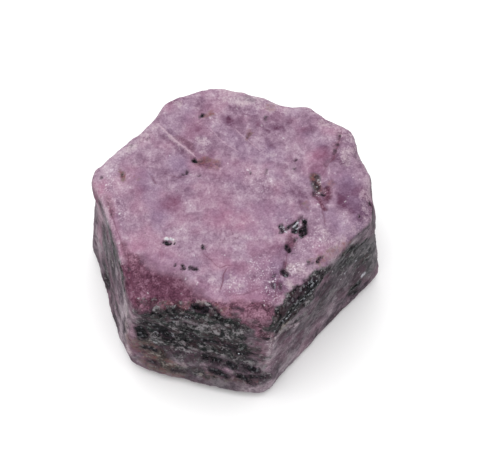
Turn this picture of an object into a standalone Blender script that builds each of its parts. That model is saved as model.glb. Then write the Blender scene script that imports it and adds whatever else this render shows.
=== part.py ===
"""Raw ruby crystal: a stubby six-sided prism of opaque corundum with worn edges, split ledges and pits.

Metres, +Z up. The crystal rests on its lower basal face, with the origin at the middle of its bounding box
on that face. +X points to the right-hand corner of the hexagon and -Y out of the front prism face.
The crystal grew as one piece, so it is one object.
"""

import math

import bmesh
import bpy
from mathutils import Vector, noise

MM = 0.001

# Driving dimensions.
HEIGHT = 16.4 * MM
SMOOTH_LIMIT = 40  # edges sharper than this stay sharp, in degrees
RIM_RISE = 45  # rise of the worn flats along both rims, in degrees
FOOT_WEAR = 0.6 * MM  # how far the lower rim is worn back
FOOT_RISE = -68  # rise of the worn flats around the resting face, in degrees
PARTING_DEPTH = 0.05 * MM  # how much of the rough underside the flat resting face takes away
RIM_WEAR = 0.2 * MM  # how far the upper rim is worn back
EDGE_WEAR = 0.5 * MM  # width of the rounding that every remaining edge gets
LATTICE = 0.5 * MM  # spacing of the points that the worn surface is carved on
TRIANGLE_SHARE = 0.39  # share of the triangles that is kept after carving

# The habit: each flat face as (azimuth of its normal, rise of its normal, distance from the heart of the crystal).
# Angles are in degrees, azimuth anticlockwise from +X. The heart is half way up.
PRISM_FACES = {
    "right_corner": (-6, 3.5, 13.9 * MM),
    "right_back": (24, 1.5, 13.6 * MM),
    "back_right": (62, 1.5, 13.35 * MM),
    "back": (82, 1.5, 12.8 * MM),
    "back_corner": (110, 1.5, 13.9 * MM),
    "left_back": (141, 1.5, 13.45 * MM),
    "left_corner": (179, 3.0, 15.45 * MM),
    "left": (203, 4.5, 13.8 * MM),
    "front": (266, 3.0, 12.7 * MM),
    "right_front": (324, 0.5, 11.25 * MM),
}
BASAL_FACES = {
    "top": (200, 87.5, 0.5 * HEIGHT),
    "base": (0, -90, 0.5 * HEIGHT),
}
BEVEL_FACES = {
    "front_bevel": (250, 46, 14.1 * MM),
    "front_left_bevel": (244, 72, 10.5 * MM),
    "right_front_bevel": (318, 58, 12.3 * MM),
    "right_bevel": (0, 50, 14.4 * MM),
}

# The resting face: each straight edge as (azimuth of its normal, distance from the axis of the crystal).
RESTING_EDGES = {
    "front": (262, 11.4 * MM),
    "right_front": (323, 10.3 * MM),
    "right_back": (16, 11.7 * MM),
    "back": (76, 11.3 * MM),
    "left_back": (134, 11.8 * MM),
    "left": (198, 11.7 * MM),
}

# Carved features, each as (middle, radius, depth). A negative depth stands proud.
RIM_BITES = {
    "back_notch": ((-2.4 * MM, 13.1 * MM, 16.6 * MM), 1.5 * MM, 0.4 * MM),
    "back_dip": ((3.4 * MM, 12.8 * MM, 16.4 * MM), 2.6 * MM, 0.45 * MM),
    "left_back_step": ((-10.6 * MM, 9.2 * MM, 16.3 * MM), 1.1 * MM, 0.25 * MM),
    "left_back_nick": ((-14.0 * MM, 4.4 * MM, 15.9 * MM), 2.4 * MM, 0.3 * MM),
    "right_back_nick": ((11.6 * MM, 7.0 * MM, 16.4 * MM), 1.3 * MM, 0.5 * MM),
    "left_hollow": ((-15.0 * MM, -1.9 * MM, 12.0 * MM), 2.4 * MM, 0.3 * MM),
    "front_bevel_scoop": ((-7.9 * MM, -10.6 * MM, 15.9 * MM), 2.6 * MM, 0.35 * MM),
    "right_slope": ((13.6 * MM, 2.0 * MM, 15.2 * MM), 3.0 * MM, 0.5 * MM),
    "front_right_foot": ((5.6 * MM, -13.2 * MM, 0.3 * MM), 2.6 * MM, 0.35 * MM),
    "front_left_foot": ((-10.6 * MM, -12.0 * MM, 0.5 * MM), 3.0 * MM, 0.35 * MM),
    "back_right_chip": ((8.0 * MM, 11.2 * MM, 8.0 * MM), 3.2 * MM, 0.7 * MM),
    "back_left_chip": ((-6.5 * MM, 12.4 * MM, 4.6 * MM), 3.4 * MM, 0.9 * MM),
    "left_chip": ((-14.0 * MM, -4.5 * MM, 3.4 * MM), 2.4 * MM, 0.5 * MM),
}
SWELLINGS = {
    "front_foot": ((1.4 * MM, -13.4 * MM, 1.4 * MM), 6.0 * MM, -1.05 * MM),
    "front_left_swell": ((-4.8 * MM, -12.6 * MM, 1.8 * MM), 5.5 * MM, -0.45 * MM),
    "left_back_knob": ((-9.2 * MM, 10.6 * MM, 15.6 * MM), 2.6 * MM, -0.4 * MM),
    "back_corner_knob": ((-5.0 * MM, 13.1 * MM, 15.4 * MM), 2.3 * MM, -0.35 * MM),
    "back_right_knob": ((6.4 * MM, 12.0 * MM, 15.6 * MM), 2.4 * MM, -0.35 * MM),
    "left_corner_knob": ((-15.0 * MM, 1.0 * MM, 15.0 * MM), 2.6 * MM, -0.3 * MM),
    "back_right_corner_knob": ((9.9 * MM, 9.6 * MM, 15.9 * MM), 2.8 * MM, -0.3 * MM),
    "right_top_swell": ((8.6 * MM, 5.6 * MM, 16.8 * MM), 3.2 * MM, -0.2 * MM),
}
PITS = {
    "mica_pit": ((6.7 * MM, -2.4 * MM, 16.6 * MM), 1.5 * MM, 0.45 * MM),
    "mica_pit_tail": ((5.3 * MM, -2.4 * MM, 16.6 * MM), 0.9 * MM, 0.3 * MM),
    "small_pit": ((6.3 * MM, -4.6 * MM, 16.6 * MM), 0.9 * MM, 0.35 * MM),
    "groove_pit": ((7.6 * MM, 1.9 * MM, 16.8 * MM), 1.3 * MM, 0.4 * MM),
    "rim_pit": ((5.5 * MM, -7.4 * MM, 16.5 * MM), 0.9 * MM, 0.35 * MM),
    "chip_pit": ((-6.7 * MM, -5.1 * MM, 16.1 * MM), 1.0 * MM, 0.3 * MM),
    "ridge_pit": ((-5.2 * MM, 4.3 * MM, 16.3 * MM), 0.9 * MM, 0.3 * MM),
}

# Relief that follows a rule, as the size of its features and its height.
SWELL = (7.0 * MM, 0.26 * MM)
LUMPS = (2.3 * MM, 0.17 * MM)
LUMP_DETAIL = (0.9, 2.0, 3)  # how fast finer lumps get lower and smaller, and how many sizes there are
LUMP_SHARE_ON_TOP = 0.6  # the basal faces are flatter than the prism faces
MICA_BED = 1.35 * MM  # thickness of the beds that split the prism faces into ledges
MICA_BED_STEP = 0.2 * MM  # height of a ledge where it is strongest
MICA_BED_WAVE = 0.7 * MM  # how far the beds wander up and down
LEDGE_DRIFT = Vector((5, 5, 5))  # keeps the strength of the ledges apart from the other relief
BASE_QUIET = 1.2 * MM  # height over which the relief fades out towards the resting face


def direction(azimuth, rise):
    """The unit vector at these two angles, in degrees."""
    turn = math.radians(azimuth)
    lift = math.radians(rise)
    return Vector((math.cos(turn) * math.cos(lift), math.sin(turn) * math.cos(lift), math.sin(lift)))


def rim_faces():
    """The flats that wear cuts along the lower and upper rims, one pair for each prism face."""
    half = 0.5 * HEIGHT
    slant = math.radians(RIM_RISE)
    for azimuth, rise, distance in PRISM_FACES.values():
        lean = math.radians(rise)
        foot = (distance + half * math.sin(lean)) / math.cos(lean) - FOOT_WEAR
        rim = (distance - half * math.sin(lean)) / math.cos(lean) - RIM_WEAR
        yield azimuth, -RIM_RISE, foot * math.cos(slant) + half * math.sin(slant)
        yield azimuth, RIM_RISE, rim * math.cos(slant) + half * math.sin(slant)


def cut_by_plane(block, middle, normal):
    """Cuts away what lies beyond the plane, and closes the cut with a flat face."""
    cut = bmesh.ops.bisect_plane(
        block,
        geom=block.verts[:] + block.edges[:] + block.faces[:],
        plane_co=middle,
        plane_no=normal,
        clear_outer=True,
    )
    outline = [item for item in cut["geom_cut"] if isinstance(item, bmesh.types.BMEdge)]
    if outline:
        bmesh.ops.edgeloop_fill(block, edges=outline)


def ideal_crystal():
    """The unworn crystal: a block cut by each face of the habit in turn."""
    heart = Vector((0, 0, 0.5 * HEIGHT))
    block = bmesh.new()
    bmesh.ops.create_cube(block, size=4 * HEIGHT)
    bmesh.ops.translate(block, verts=block.verts, vec=heart)
    faces = [*PRISM_FACES.values(), *BASAL_FACES.values(), *BEVEL_FACES.values(), *rim_faces()]
    for azimuth, rise, distance in faces:
        normal = direction(azimuth, rise)
        cut_by_plane(block, heart + normal * distance, normal)
    bmesh.ops.recalc_face_normals(block, faces=block.faces)
    mesh = bpy.data.meshes.new("ideal_crystal")
    block.to_mesh(mesh)
    block.free()
    return mesh


def evaluated(mesh, add_modifiers):
    """The mesh after the modifiers that the given function adds to an object."""
    holder = bpy.data.objects.new("holder", mesh)
    bpy.context.scene.collection.objects.link(holder)
    add_modifiers(holder)
    graph = bpy.context.evaluated_depsgraph_get()
    result = bpy.data.meshes.new_from_object(holder.evaluated_get(graph))
    bpy.data.objects.remove(holder)
    result.name = "ruby_crystal"
    return result


def wear_down(worn):
    """Rounds the edges, and makes the surface an even lattice of points that can be carved."""
    wear = worn.modifiers.new("edge_wear", "BEVEL")
    wear.width = EDGE_WEAR
    wear.segments = 2
    wear.limit_method = "ANGLE"
    wear.angle_limit = math.radians(12)
    lattice = worn.modifiers.new("lattice", "REMESH")
    lattice.mode = "VOXEL"
    lattice.voxel_size = LATTICE
    softening = worn.modifiers.new("softening", "SMOOTH")
    softening.factor = 0.5
    softening.iterations = 3


def thin_out(carved):
    """Keeps only the triangles that the carved shape needs."""
    thinning = carved.modifiers.new("thinning", "DECIMATE")
    thinning.ratio = TRIANGLE_SHARE


def bowl(point, feature):
    """How deep a rounded hollow is at this point: its full depth in the middle, nothing at its radius."""
    middle, radius, depth = feature
    share = (point - Vector(middle)).length / radius
    return depth * (1 - share * share) ** 2 if share < 1 else 0.0


def ledge(point):
    """The saw-toothed step of the mica bed that this point of a prism face lies in."""
    height = point.z + MICA_BED_WAVE * noise.noise(point / SWELL[0])
    beds = height / MICA_BED
    strength = 0.5 + noise.noise(point / (3 * MICA_BED) + LEDGE_DRIFT)
    return MICA_BED_STEP * (beds - math.floor(beds) - 0.5) * strength


def relief(point, normal):
    """Height of the surface above the worn crystal at this point, along its normal."""
    prism_share = 1 - abs(normal.z)
    swell = SWELL[1] * noise.noise(point / SWELL[0])
    share = LUMP_SHARE_ON_TOP + (1 - LUMP_SHARE_ON_TOP) * prism_share
    lumps = LUMPS[1] * noise.fractal(point / LUMPS[0], *LUMP_DETAIL) * share
    quiet = min(1.0, point.z / BASE_QUIET)
    return quiet * (swell + lumps + prism_share * ledge(point))


def carve(mesh):
    """Moves each point of the lattice to the broken surface of the real stone."""
    features = [*RIM_BITES.values(), *SWELLINGS.values(), *PITS.values()]
    places = [vertex.co.copy() for vertex in mesh.vertices]
    normals = [vertex.normal.copy() for vertex in mesh.vertices]
    for vertex, point, normal in zip(mesh.vertices, places, normals):
        height = relief(point, normal) - sum(bowl(point, feature) for feature in features)
        vertex.co = point + normal * height


def part_base(mesh):
    """Cuts the flat resting face, and a worn flat along each of its edges."""
    stone = bmesh.new()
    stone.from_mesh(mesh)
    cut_by_plane(stone, Vector((0, 0, PARTING_DEPTH)), Vector((0, 0, -1)))
    for azimuth, distance in RESTING_EDGES.values():
        edge = direction(azimuth, 0) * distance + Vector((0, 0, PARTING_DEPTH))
        cut_by_plane(stone, edge, direction(azimuth, FOOT_RISE))
    bmesh.ops.recalc_face_normals(stone, faces=stone.faces)
    stone.to_mesh(mesh)
    stone.free()


def centre_on_base(mesh):
    """Puts the middle of the bounding box over the origin, with the base at height 0."""
    lowest = Vector([min(vertex.co[axis] for vertex in mesh.vertices) for axis in range(3)])
    highest = Vector([max(vertex.co[axis] for vertex in mesh.vertices) for axis in range(3)])
    middle = (lowest + highest) / 2
    shift = Vector((middle.x, middle.y, lowest.z))
    for vertex in mesh.vertices:
        vertex.co -= shift


def ruby_material():
    """Opaque mauve ruby, between waxy and glassy."""
    ruby = bpy.data.materials.new("raw_ruby")
    ruby.use_nodes = True
    surface = ruby.node_tree.nodes["Principled BSDF"]
    surface.inputs["Base Color"].default_value = (0.37, 0.22, 0.30, 1)
    surface.inputs["Roughness"].default_value = 0.5
    surface.inputs["Metallic"].default_value = 0.0
    return ruby


def main():
    for old in list(bpy.data.objects):
        bpy.data.objects.remove(old)
    mesh = evaluated(ideal_crystal(), wear_down)
    carve(mesh)
    mesh = evaluated(mesh, thin_out)
    part_base(mesh)
    centre_on_base(mesh)
    mesh.materials.clear()
    mesh.materials.append(ruby_material())
    mesh.shade_smooth()
    mesh.set_sharp_from_angle(angle=math.radians(SMOOTH_LIMIT))
    crystal = bpy.data.objects.new("ruby_crystal", mesh)
    bpy.context.scene.collection.objects.link(crystal)


main()
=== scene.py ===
import math
import random

import bpy
import numpy as np
from mathutils import Matrix, Vector, noise


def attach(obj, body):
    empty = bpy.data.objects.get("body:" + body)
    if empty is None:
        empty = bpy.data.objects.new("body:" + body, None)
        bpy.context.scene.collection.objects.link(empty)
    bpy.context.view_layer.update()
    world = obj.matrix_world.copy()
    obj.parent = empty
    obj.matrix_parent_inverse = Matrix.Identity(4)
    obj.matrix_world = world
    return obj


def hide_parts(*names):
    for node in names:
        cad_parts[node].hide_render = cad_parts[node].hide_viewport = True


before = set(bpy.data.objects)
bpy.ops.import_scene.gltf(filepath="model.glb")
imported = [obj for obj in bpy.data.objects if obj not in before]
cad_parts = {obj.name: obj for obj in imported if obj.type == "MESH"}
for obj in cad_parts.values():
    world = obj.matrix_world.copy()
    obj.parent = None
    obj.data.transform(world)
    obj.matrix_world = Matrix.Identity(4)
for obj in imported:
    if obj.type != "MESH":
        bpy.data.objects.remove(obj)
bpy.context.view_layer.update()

mm = 0.001
farAway = 1e9
topHeight = 16.4  # usual height of the upper basal face, for strokes that give only two numbers
strokeDepth = 2.5  # a stroke doesn't reach deeper into the stone than this
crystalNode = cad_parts["ruby_crystal"]


# Working with one piece at a time.
def pickOnly(piece):
    bpy.ops.object.select_all(action="DESELECT")
    piece.select_set(True)
    bpy.context.view_layer.objects.active = piece


def applyModifiers(piece):
    pickOnly(piece)
    for modifier in list(piece.modifiers):
        bpy.ops.object.modifier_apply(modifier=modifier.name)


def readPoints(mesh):
    # places in millimetres and normals of all points
    places = np.empty(len(mesh.vertices) * 3, np.float32)
    mesh.vertices.foreach_get("co", places)
    normals = np.empty(len(mesh.vertices) * 3, np.float32)
    mesh.vertex_normals.foreach_get("vector", normals)
    return places.reshape(-1, 3).astype(float) / mm, normals.reshape(-1, 3).astype(float)


def writePoints(mesh, places):
    mesh.vertices.foreach_set("co", (places * mm).astype(np.float32).ravel())
    mesh.update()


def easeIn(values, low, high):
    # 0 below low, 1 above high, smooth between
    share = np.clip((values - low) / (high - low), 0, 1)
    return share * share * (3 - 2 * share)


def noiseAt(places, size, shift, octaves):
    # soft noise between about -1 and 1, with lumps of this size
    drift = Vector((shift, shift * 1.7, shift * 0.6))
    stretch = Vector((1 / size, 1 / size, 1 / size))
    return np.array([noise.fractal(Vector(place) * stretch + drift, 1, 2, octaves) for place in places])


def runsOf(path):
    # the ends of each straight run of a path; one point alone makes a run of no length
    points = [np.array((*point, topHeight) if len(point) == 2 else point, float) for point in path]
    return zip(points, points[1:] or points)


def besideRun(places, normals, start, end):
    # the way from the run to each point, measured along the surface, and its length
    run = end - start
    along = np.clip((places - start) @ run / max(run @ run, 1e-9), 0, 1)
    gap = places - start - along[:, None] * run
    depth = np.einsum("ij,ij->i", gap, normals)
    flat = gap - depth[:, None] * normals
    away = np.sqrt(np.einsum("ij,ij->i", flat, flat))
    away[np.abs(depth) > strokeDepth] = farAway
    return flat, away


def allOf(strokes):
    # the strokes of a table, out of its lists
    return sum(strokes.values(), [])


def strokeCover(places, normals, strokes):
    # how much of a stroke lies over each point, whole within a quarter of its reach; the strongest counts
    cover = np.zeros(len(places))
    for path, reach, amount in allOf(strokes):
        nearest = np.full(len(places), farAway)
        for start, end in runsOf(path):
            nearest = np.minimum(nearest, besideRun(places, normals, start, end)[1])
        cover = np.maximum(cover, amount * (1 - easeIn(nearest, 0.25 * reach, reach)))
    return cover


def crackDistance(places, normals, paths):
    # distance to the nearest crack, negative on one side of it, so that a hairline stays sharp
    nearest = np.full(len(places), 3.0)
    for path in paths:
        for start, end in runsOf(path):
            flat, away = besideRun(places, normals, start, end)
            side = np.sign(np.einsum("ij,ij->i", flat, np.cross(end - start, normals)))
            closer = away < np.abs(nearest)
            nearest = np.where(closer, away * np.where(side == 0, 1, side), nearest)
    return nearest


# The camera.
cameraSetting = {
    "azimuth": 6.3,
    "elevation": 63,
    "lens": 200,
    "distance": 275 * mm,
    "aim": Vector((0.646, 0.224, 9.95)) * mm,
}


def addCamera():
    turn = math.radians(cameraSetting["azimuth"])
    lift = math.radians(cameraSetting["elevation"])
    back = Vector((math.sin(turn) * math.cos(lift), -math.cos(turn) * math.cos(lift), math.sin(lift)))
    bpy.ops.object.camera_add(
        location=cameraSetting["aim"] + back * cameraSetting["distance"],
        rotation=(-back).to_track_quat("-Z", "Y").to_euler(),
    )
    camera = bpy.context.object
    camera.data.lens = cameraSetting["lens"]
    camera.data.clip_start = 1 * mm
    bpy.context.scene.camera = camera


addCamera()
print("camera in place")


# The stone's shape.
stoneBody = {
    "lattice": 0.245,  # spacing of the points
    "easing": 5,  # passes that round off the flats of the solid
    "swell": (2.4, 0.16),  # size and height of broad lumps
    "knobs": (1, 0.09),
    "sugar": (0.42, 0.06),  # the fine grain of the corundum
    "beds": (2.2, 0.16),  # flat-lying splits in the prism faces
    "bedSquash": 1.1,
    "flakes": (0.7, 0.26),  # broken mica, in flat-lying steps
    "wornCorner": ((-9.6, -11.7, 0.8), 3, 24),  # place and reach of the round corner, and passes
    "footFade": (0.15, 0.9),  # the relief comes in between these heights above the resting face
    "flatFoot": 0.05,  # no point from below this height is pushed under the resting face
    "grainRelief": 0.35,  # dark grains break up this much as strongly as the mica beds
    "pits": (0.34, 0.12, 0.14),  # size of their noise, depth, and how much the depth varies
    "finer": (0.15, 0.55),  # faces get half the spacing above this cover, and this near a scratch
    "wander": (1.3, 0.42),  # size and strength of the noise that bends the strokes
    "fray": (0.5, 0.12),  # the same for the finer strokes
    "hairline": (0.35, 0.9),  # scratches darker or paler than this show a hairline, this far from their path
}

# Each stroke is a path in millimetres, a reach and an amount. Here: dark beds of mica in the prism faces.
micaBeds = {
    "frontTop": [([(-7, -11.8, 12.8), (-4.2, -11.9, 13.9), (-1, -12, 14.3), (1.6, -12.4, 13.9)], 2.1, 1)],
    "frontUpper": [([(-6.8, -11.9, 10.6), (-2, -12.2, 11.2), (1, -12.4, 11.6)], 3, 1.1)],
    "frontMiddle": [([(-6.7, -12, 8.2), (-2, -12.3, 8.6), (1.6, -12.7, 8.6)], 2.8, 1.05)],
    "frontLower": [([(-6.6, -12.3, 5.6), (-1.8, -12.6, 5.9), (3, -13, 6)], 2.4, 0.6)],
    "frontFoot": [([(-5.6, -12.6, 3.4), (-1, -13.1, 3.4), (4.2, -13.4, 4)], 1.8, 0.52)],
    "frontRightEnd": [([(2.6, -12.5, 13.2), (3.6, -12.6, 10.4), (4.2, -12.8, 7.6)], 1.4, 0.42)],
    "frontSole": [([(-6.6, -12.8, 1.9), (-1.6, -13.3, 1.6), (1, -13.5, 1.6)], 1.3, 0.26)],
    "rightBand": [
        ([(5.8, -11.8, 14.2), (6.6, -10.6, 14.6), (7.9, -8.9, 14.9), (9.3, -6.9, 14.9)], 1.8, 1.8),
    ],
    "rightBandLow": [([(5.9, -11.4, 12.2), (7, -10, 12.7), (8.6, -8, 13)], 1.6, 1.1)],
    "rightBelow": [([(6.4, -11, 10.2), (8.2, -8.7, 10.6)], 1.2, 0.5)],
    "rightBandEnd": [([(9.6, -6.4, 15.2), (10.3, -5.4, 14.4)], 0.8, 0.85)],
    "rightSlot": [([(11.4, -3.8, 14.9), (12, -3, 14.2), (12.8, -1.9, 13.2)], 0.8, 0.8)],
    "rightGreen": [([(11.9, -3.3, 11.8), (12.7, -2.3, 10.8), (13.4, -1.1, 8.6)], 1.9, 0.6)],
    "rightFootKnot": [([(12.8, -2.2, 4.9), (13, -1.9, 3.7)], 1, 1.1)],
    "rightUnder": [([(8.6, -7.8, 8.6), (11, -4.4, 8.4)], 1.6, 0.32)],
    "rightBackBed": [([(8.4, 10.8, 5.4), (11.4, 7.4, 7.2), (14, 3.2, 9.6)], 3.6, 0.55)],
    "rightBackCore": [([(11.2, 7.6, 7.4), (12.8, 5, 8.4)], 1.3, 0.9)],
    "rightBackUpper": [([(9.6, 9.6, 12.8), (11.6, 7.2, 13.4)], 1.1, 0.6)],
    "rightBackFoot": [([(10.6, 8.4, 2.6), (13.2, 4.4, 3.4)], 0.9, 0.5)],
    "leftUpper": [([(-12.2, -3.4, 14.6), (-11.8, -4.6, 13.6), (-11.7, -5.2, 12)], 1, 0.6)],
    "leftMiddle": [([(-12.6, -3.9, 11), (-12.2, -5, 10)], 1.2, 0.4)],
    "leftLow": [([(-13.1, -3.2, 4), (-13, -3.5, 2.4)], 1.4, 0.6)],
    "leftRim": [([(-10.8, -7.3, 14.8), (-10.3, -8.4, 14.3), (-10, -9.2, 13)], 0.7, 0.85)],
    "leftFoot": [([(-11.6, -6.6, 6), (-10.8, -8.6, 5)], 1.2, 0.5)],
    "backLeftBed": [([(-13.4, 5.4, 10.6), (-9.8, 9.4, 8.6), (-5.6, 12.2, 9.6)], 4, 0.5)],
    "backLeftCore": [([(-11.6, 7.8, 9.4), (-8.4, 10.6, 8.2)], 1.5, 0.9)],
    "backLeftUpper": [([(-12.4, 6.6, 13.4), (-9.6, 9.6, 13.8)], 0.9, 0.6)],
    "backLeftFoot": [([(-12, 7.4, 3.2), (-8, 11, 4.6), (-5, 12.6, 4)], 1.4, 0.6)],
    "backBed": [([(-3.6, 13.2, 12.4), (1.2, 13.4, 10.6), (5.4, 12.6, 8.6)], 3.4, 0.5)],
    "backCore": [([(0.2, 13.4, 11.4), (3.6, 13.1, 10.2)], 1.3, 0.9)],
    "backThread": [([(-3.2, 13.2, 7.2), (0.6, 13.3, 6.2), (4.8, 12.9, 6.8)], 0.8, 0.6)],
    "backFoot": [([(2.2, 13.3, 3), (6.2, 12.2, 3.6)], 1.2, 0.5)],
}

# Black books inside the beds, and paler places.
micaBlack = {
    "front": [
        ([(-8.1, -11.8, 8.9), (-7.6, -11.8, 8.6)], 0.8, 1),
        ([(-7.8, -11.7, 10.6), (-7.2, -11.7, 10.7)], 0.6, 0.8),
        ([(-6, -11.8, 10.2), (-5.5, -11.8, 9.2)], 0.9, 1),
    ],
    "frontLip": [([(-3.2, -11.6, 15.1), (-2.1, -11.7, 15.1), (-1.3, -11.8, 15)], 0.8, 1)],
    "frontUnderLip": [([(-1.6, -11.9, 14.5), (1.2, -12.2, 14.5)], 0.8, 0.7)],
    "frontUpperLeft": [([(-5, -11.8, 14.2), (-3.6, -11.8, 14.7)], 0.7, 0.8)],
    "frontMiddle": [([(-2.9, -12.1, 8.9), (-1.9, -12.2, 8.6)], 0.9, 0.9)],
    "frontMiddleRight": [([(-0.4, -12.4, 9.6), (1.4, -12.6, 9.4)], 0.7, 0.6)],
    "low": [
        ([(-1.6, -12.5, 6.3), (-0.2, -12.6, 6.3)], 0.9, 1), ([(-1.6, -12.8, 4.3), (0, -12.9, 4.3)], 1.1, 1),
        ([(1.8, -12.7, 8.8), (3, -12.7, 8.4)], 0.7, 0.9), ([(2.2, -13, 5.4), (3.7, -13.1, 5.3)], 0.8, 1),
        ([(-7.7, -12.5, 3.1), (-6.7, -12.5, 3.6)], 0.8, 0.9),
        ([(0.9, -12.8, 5.6), (1.8, -12.8, 5.9)], 0.6, 0.8),
        ([(1.2, -13.4, 3.5), (2.6, -13.4, 3.7)], 0.7, 0.8), ([(3.4, -12.8, 6.8), (4.3, -12.8, 7)], 0.5, 0.7),
    ],
    "foot": [([(-4.4, -13, 3), (-3.2, -13.1, 3)], 0.7, 0.6)],
    "edge": [
        ([(3.2, -12.5, 13), (3.9, -12.6, 12.6)], 0.6, 0.7),
        ([(2.4, -12.6, 11.2), (3.8, -12.6, 10.6)], 0.6, 0.7),
    ],
    "rightBand": [([(5.8, -11.7, 13.9), (6.6, -10.6, 14.3), (7.9, -9, 14.6), (8.7, -7.8, 14.6)], 1.5, 1.5)],
    "rightBandLow": [([(6.2, -11.1, 12.6), (7.4, -9.5, 12.8)], 1, 0.8)],
    "rightBandEnd": [([(9.6, -6.4, 15.1), (10.2, -5.6, 14.2)], 0.7, 0.9)],
    "rightKnot": [([(12.8, -2.2, 4.9), (13, -1.9, 3.7)], 1, 1.1)],
    "rightBack": [([(11.2, 7.6, 7.2), (12.6, 5.4, 7.8)], 1.1, 0.9)],
    "leftUpper": [([(-12.1, -3.8, 14.6), (-11.8, -4.6, 13.8)], 0.8, 0.9)],
    "leftLow": [([(-13, -3.4, 4), (-12.9, -3.8, 2.6)], 0.9, 1)],
    "backLeft": [([(-9.8, 9.6, 9.2), (-7.4, 11.4, 8.4)], 1.1, 0.9)],
    "back": [([(1.2, 13.3, 11.4), (3.6, 13.1, 11)], 0.9, 0.9)],
}
micaPale = {
    "front": [
        ([(-4.6, -11.9, 11.6), (-4.7, -11.9, 9.8)], 0.9, 0.8),
        ([(-3.1, -12, 11.6), (-0.6, -12.2, 12.4)], 1.2, 0.6),
        ([(0.2, -12.4, 11.8), (1.6, -12.4, 12.9)], 1, 0.4),
        ([(-6.7, -11.8, 9.1), (-6.2, -11.9, 8.4)], 0.6, 0.8),
    ],
    "low": [
        ([(-6.9, -12.1, 7.2), (-5.1, -12.2, 7.4)], 0.7, 0.9),
        ([(-4.6, -12.8, 4.3), (-3.7, -12.9, 3.9)], 0.9, 1),
        ([(-3.8, -12.4, 6.2), (-2.6, -12.4, 6.8)], 0.7, 0.5), ([(0.2, -12.8, 5.1), (1, -12.7, 5)], 0.5, 0.6),
        ([(-7.4, -12.3, 4.8), (-5.8, -12.6, 4.6)], 0.8, 0.8),
    ],
    "rightLow": [([(6, -11.4, 11.4), (7.6, -9.4, 11), (9.4, -7.2, 11.4)], 0.7, 1)],
    "rightDots": [([(8.9, -7.4, 15.2), (9.2, -7, 14.6)], 0.5, 0.9)],
}

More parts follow.
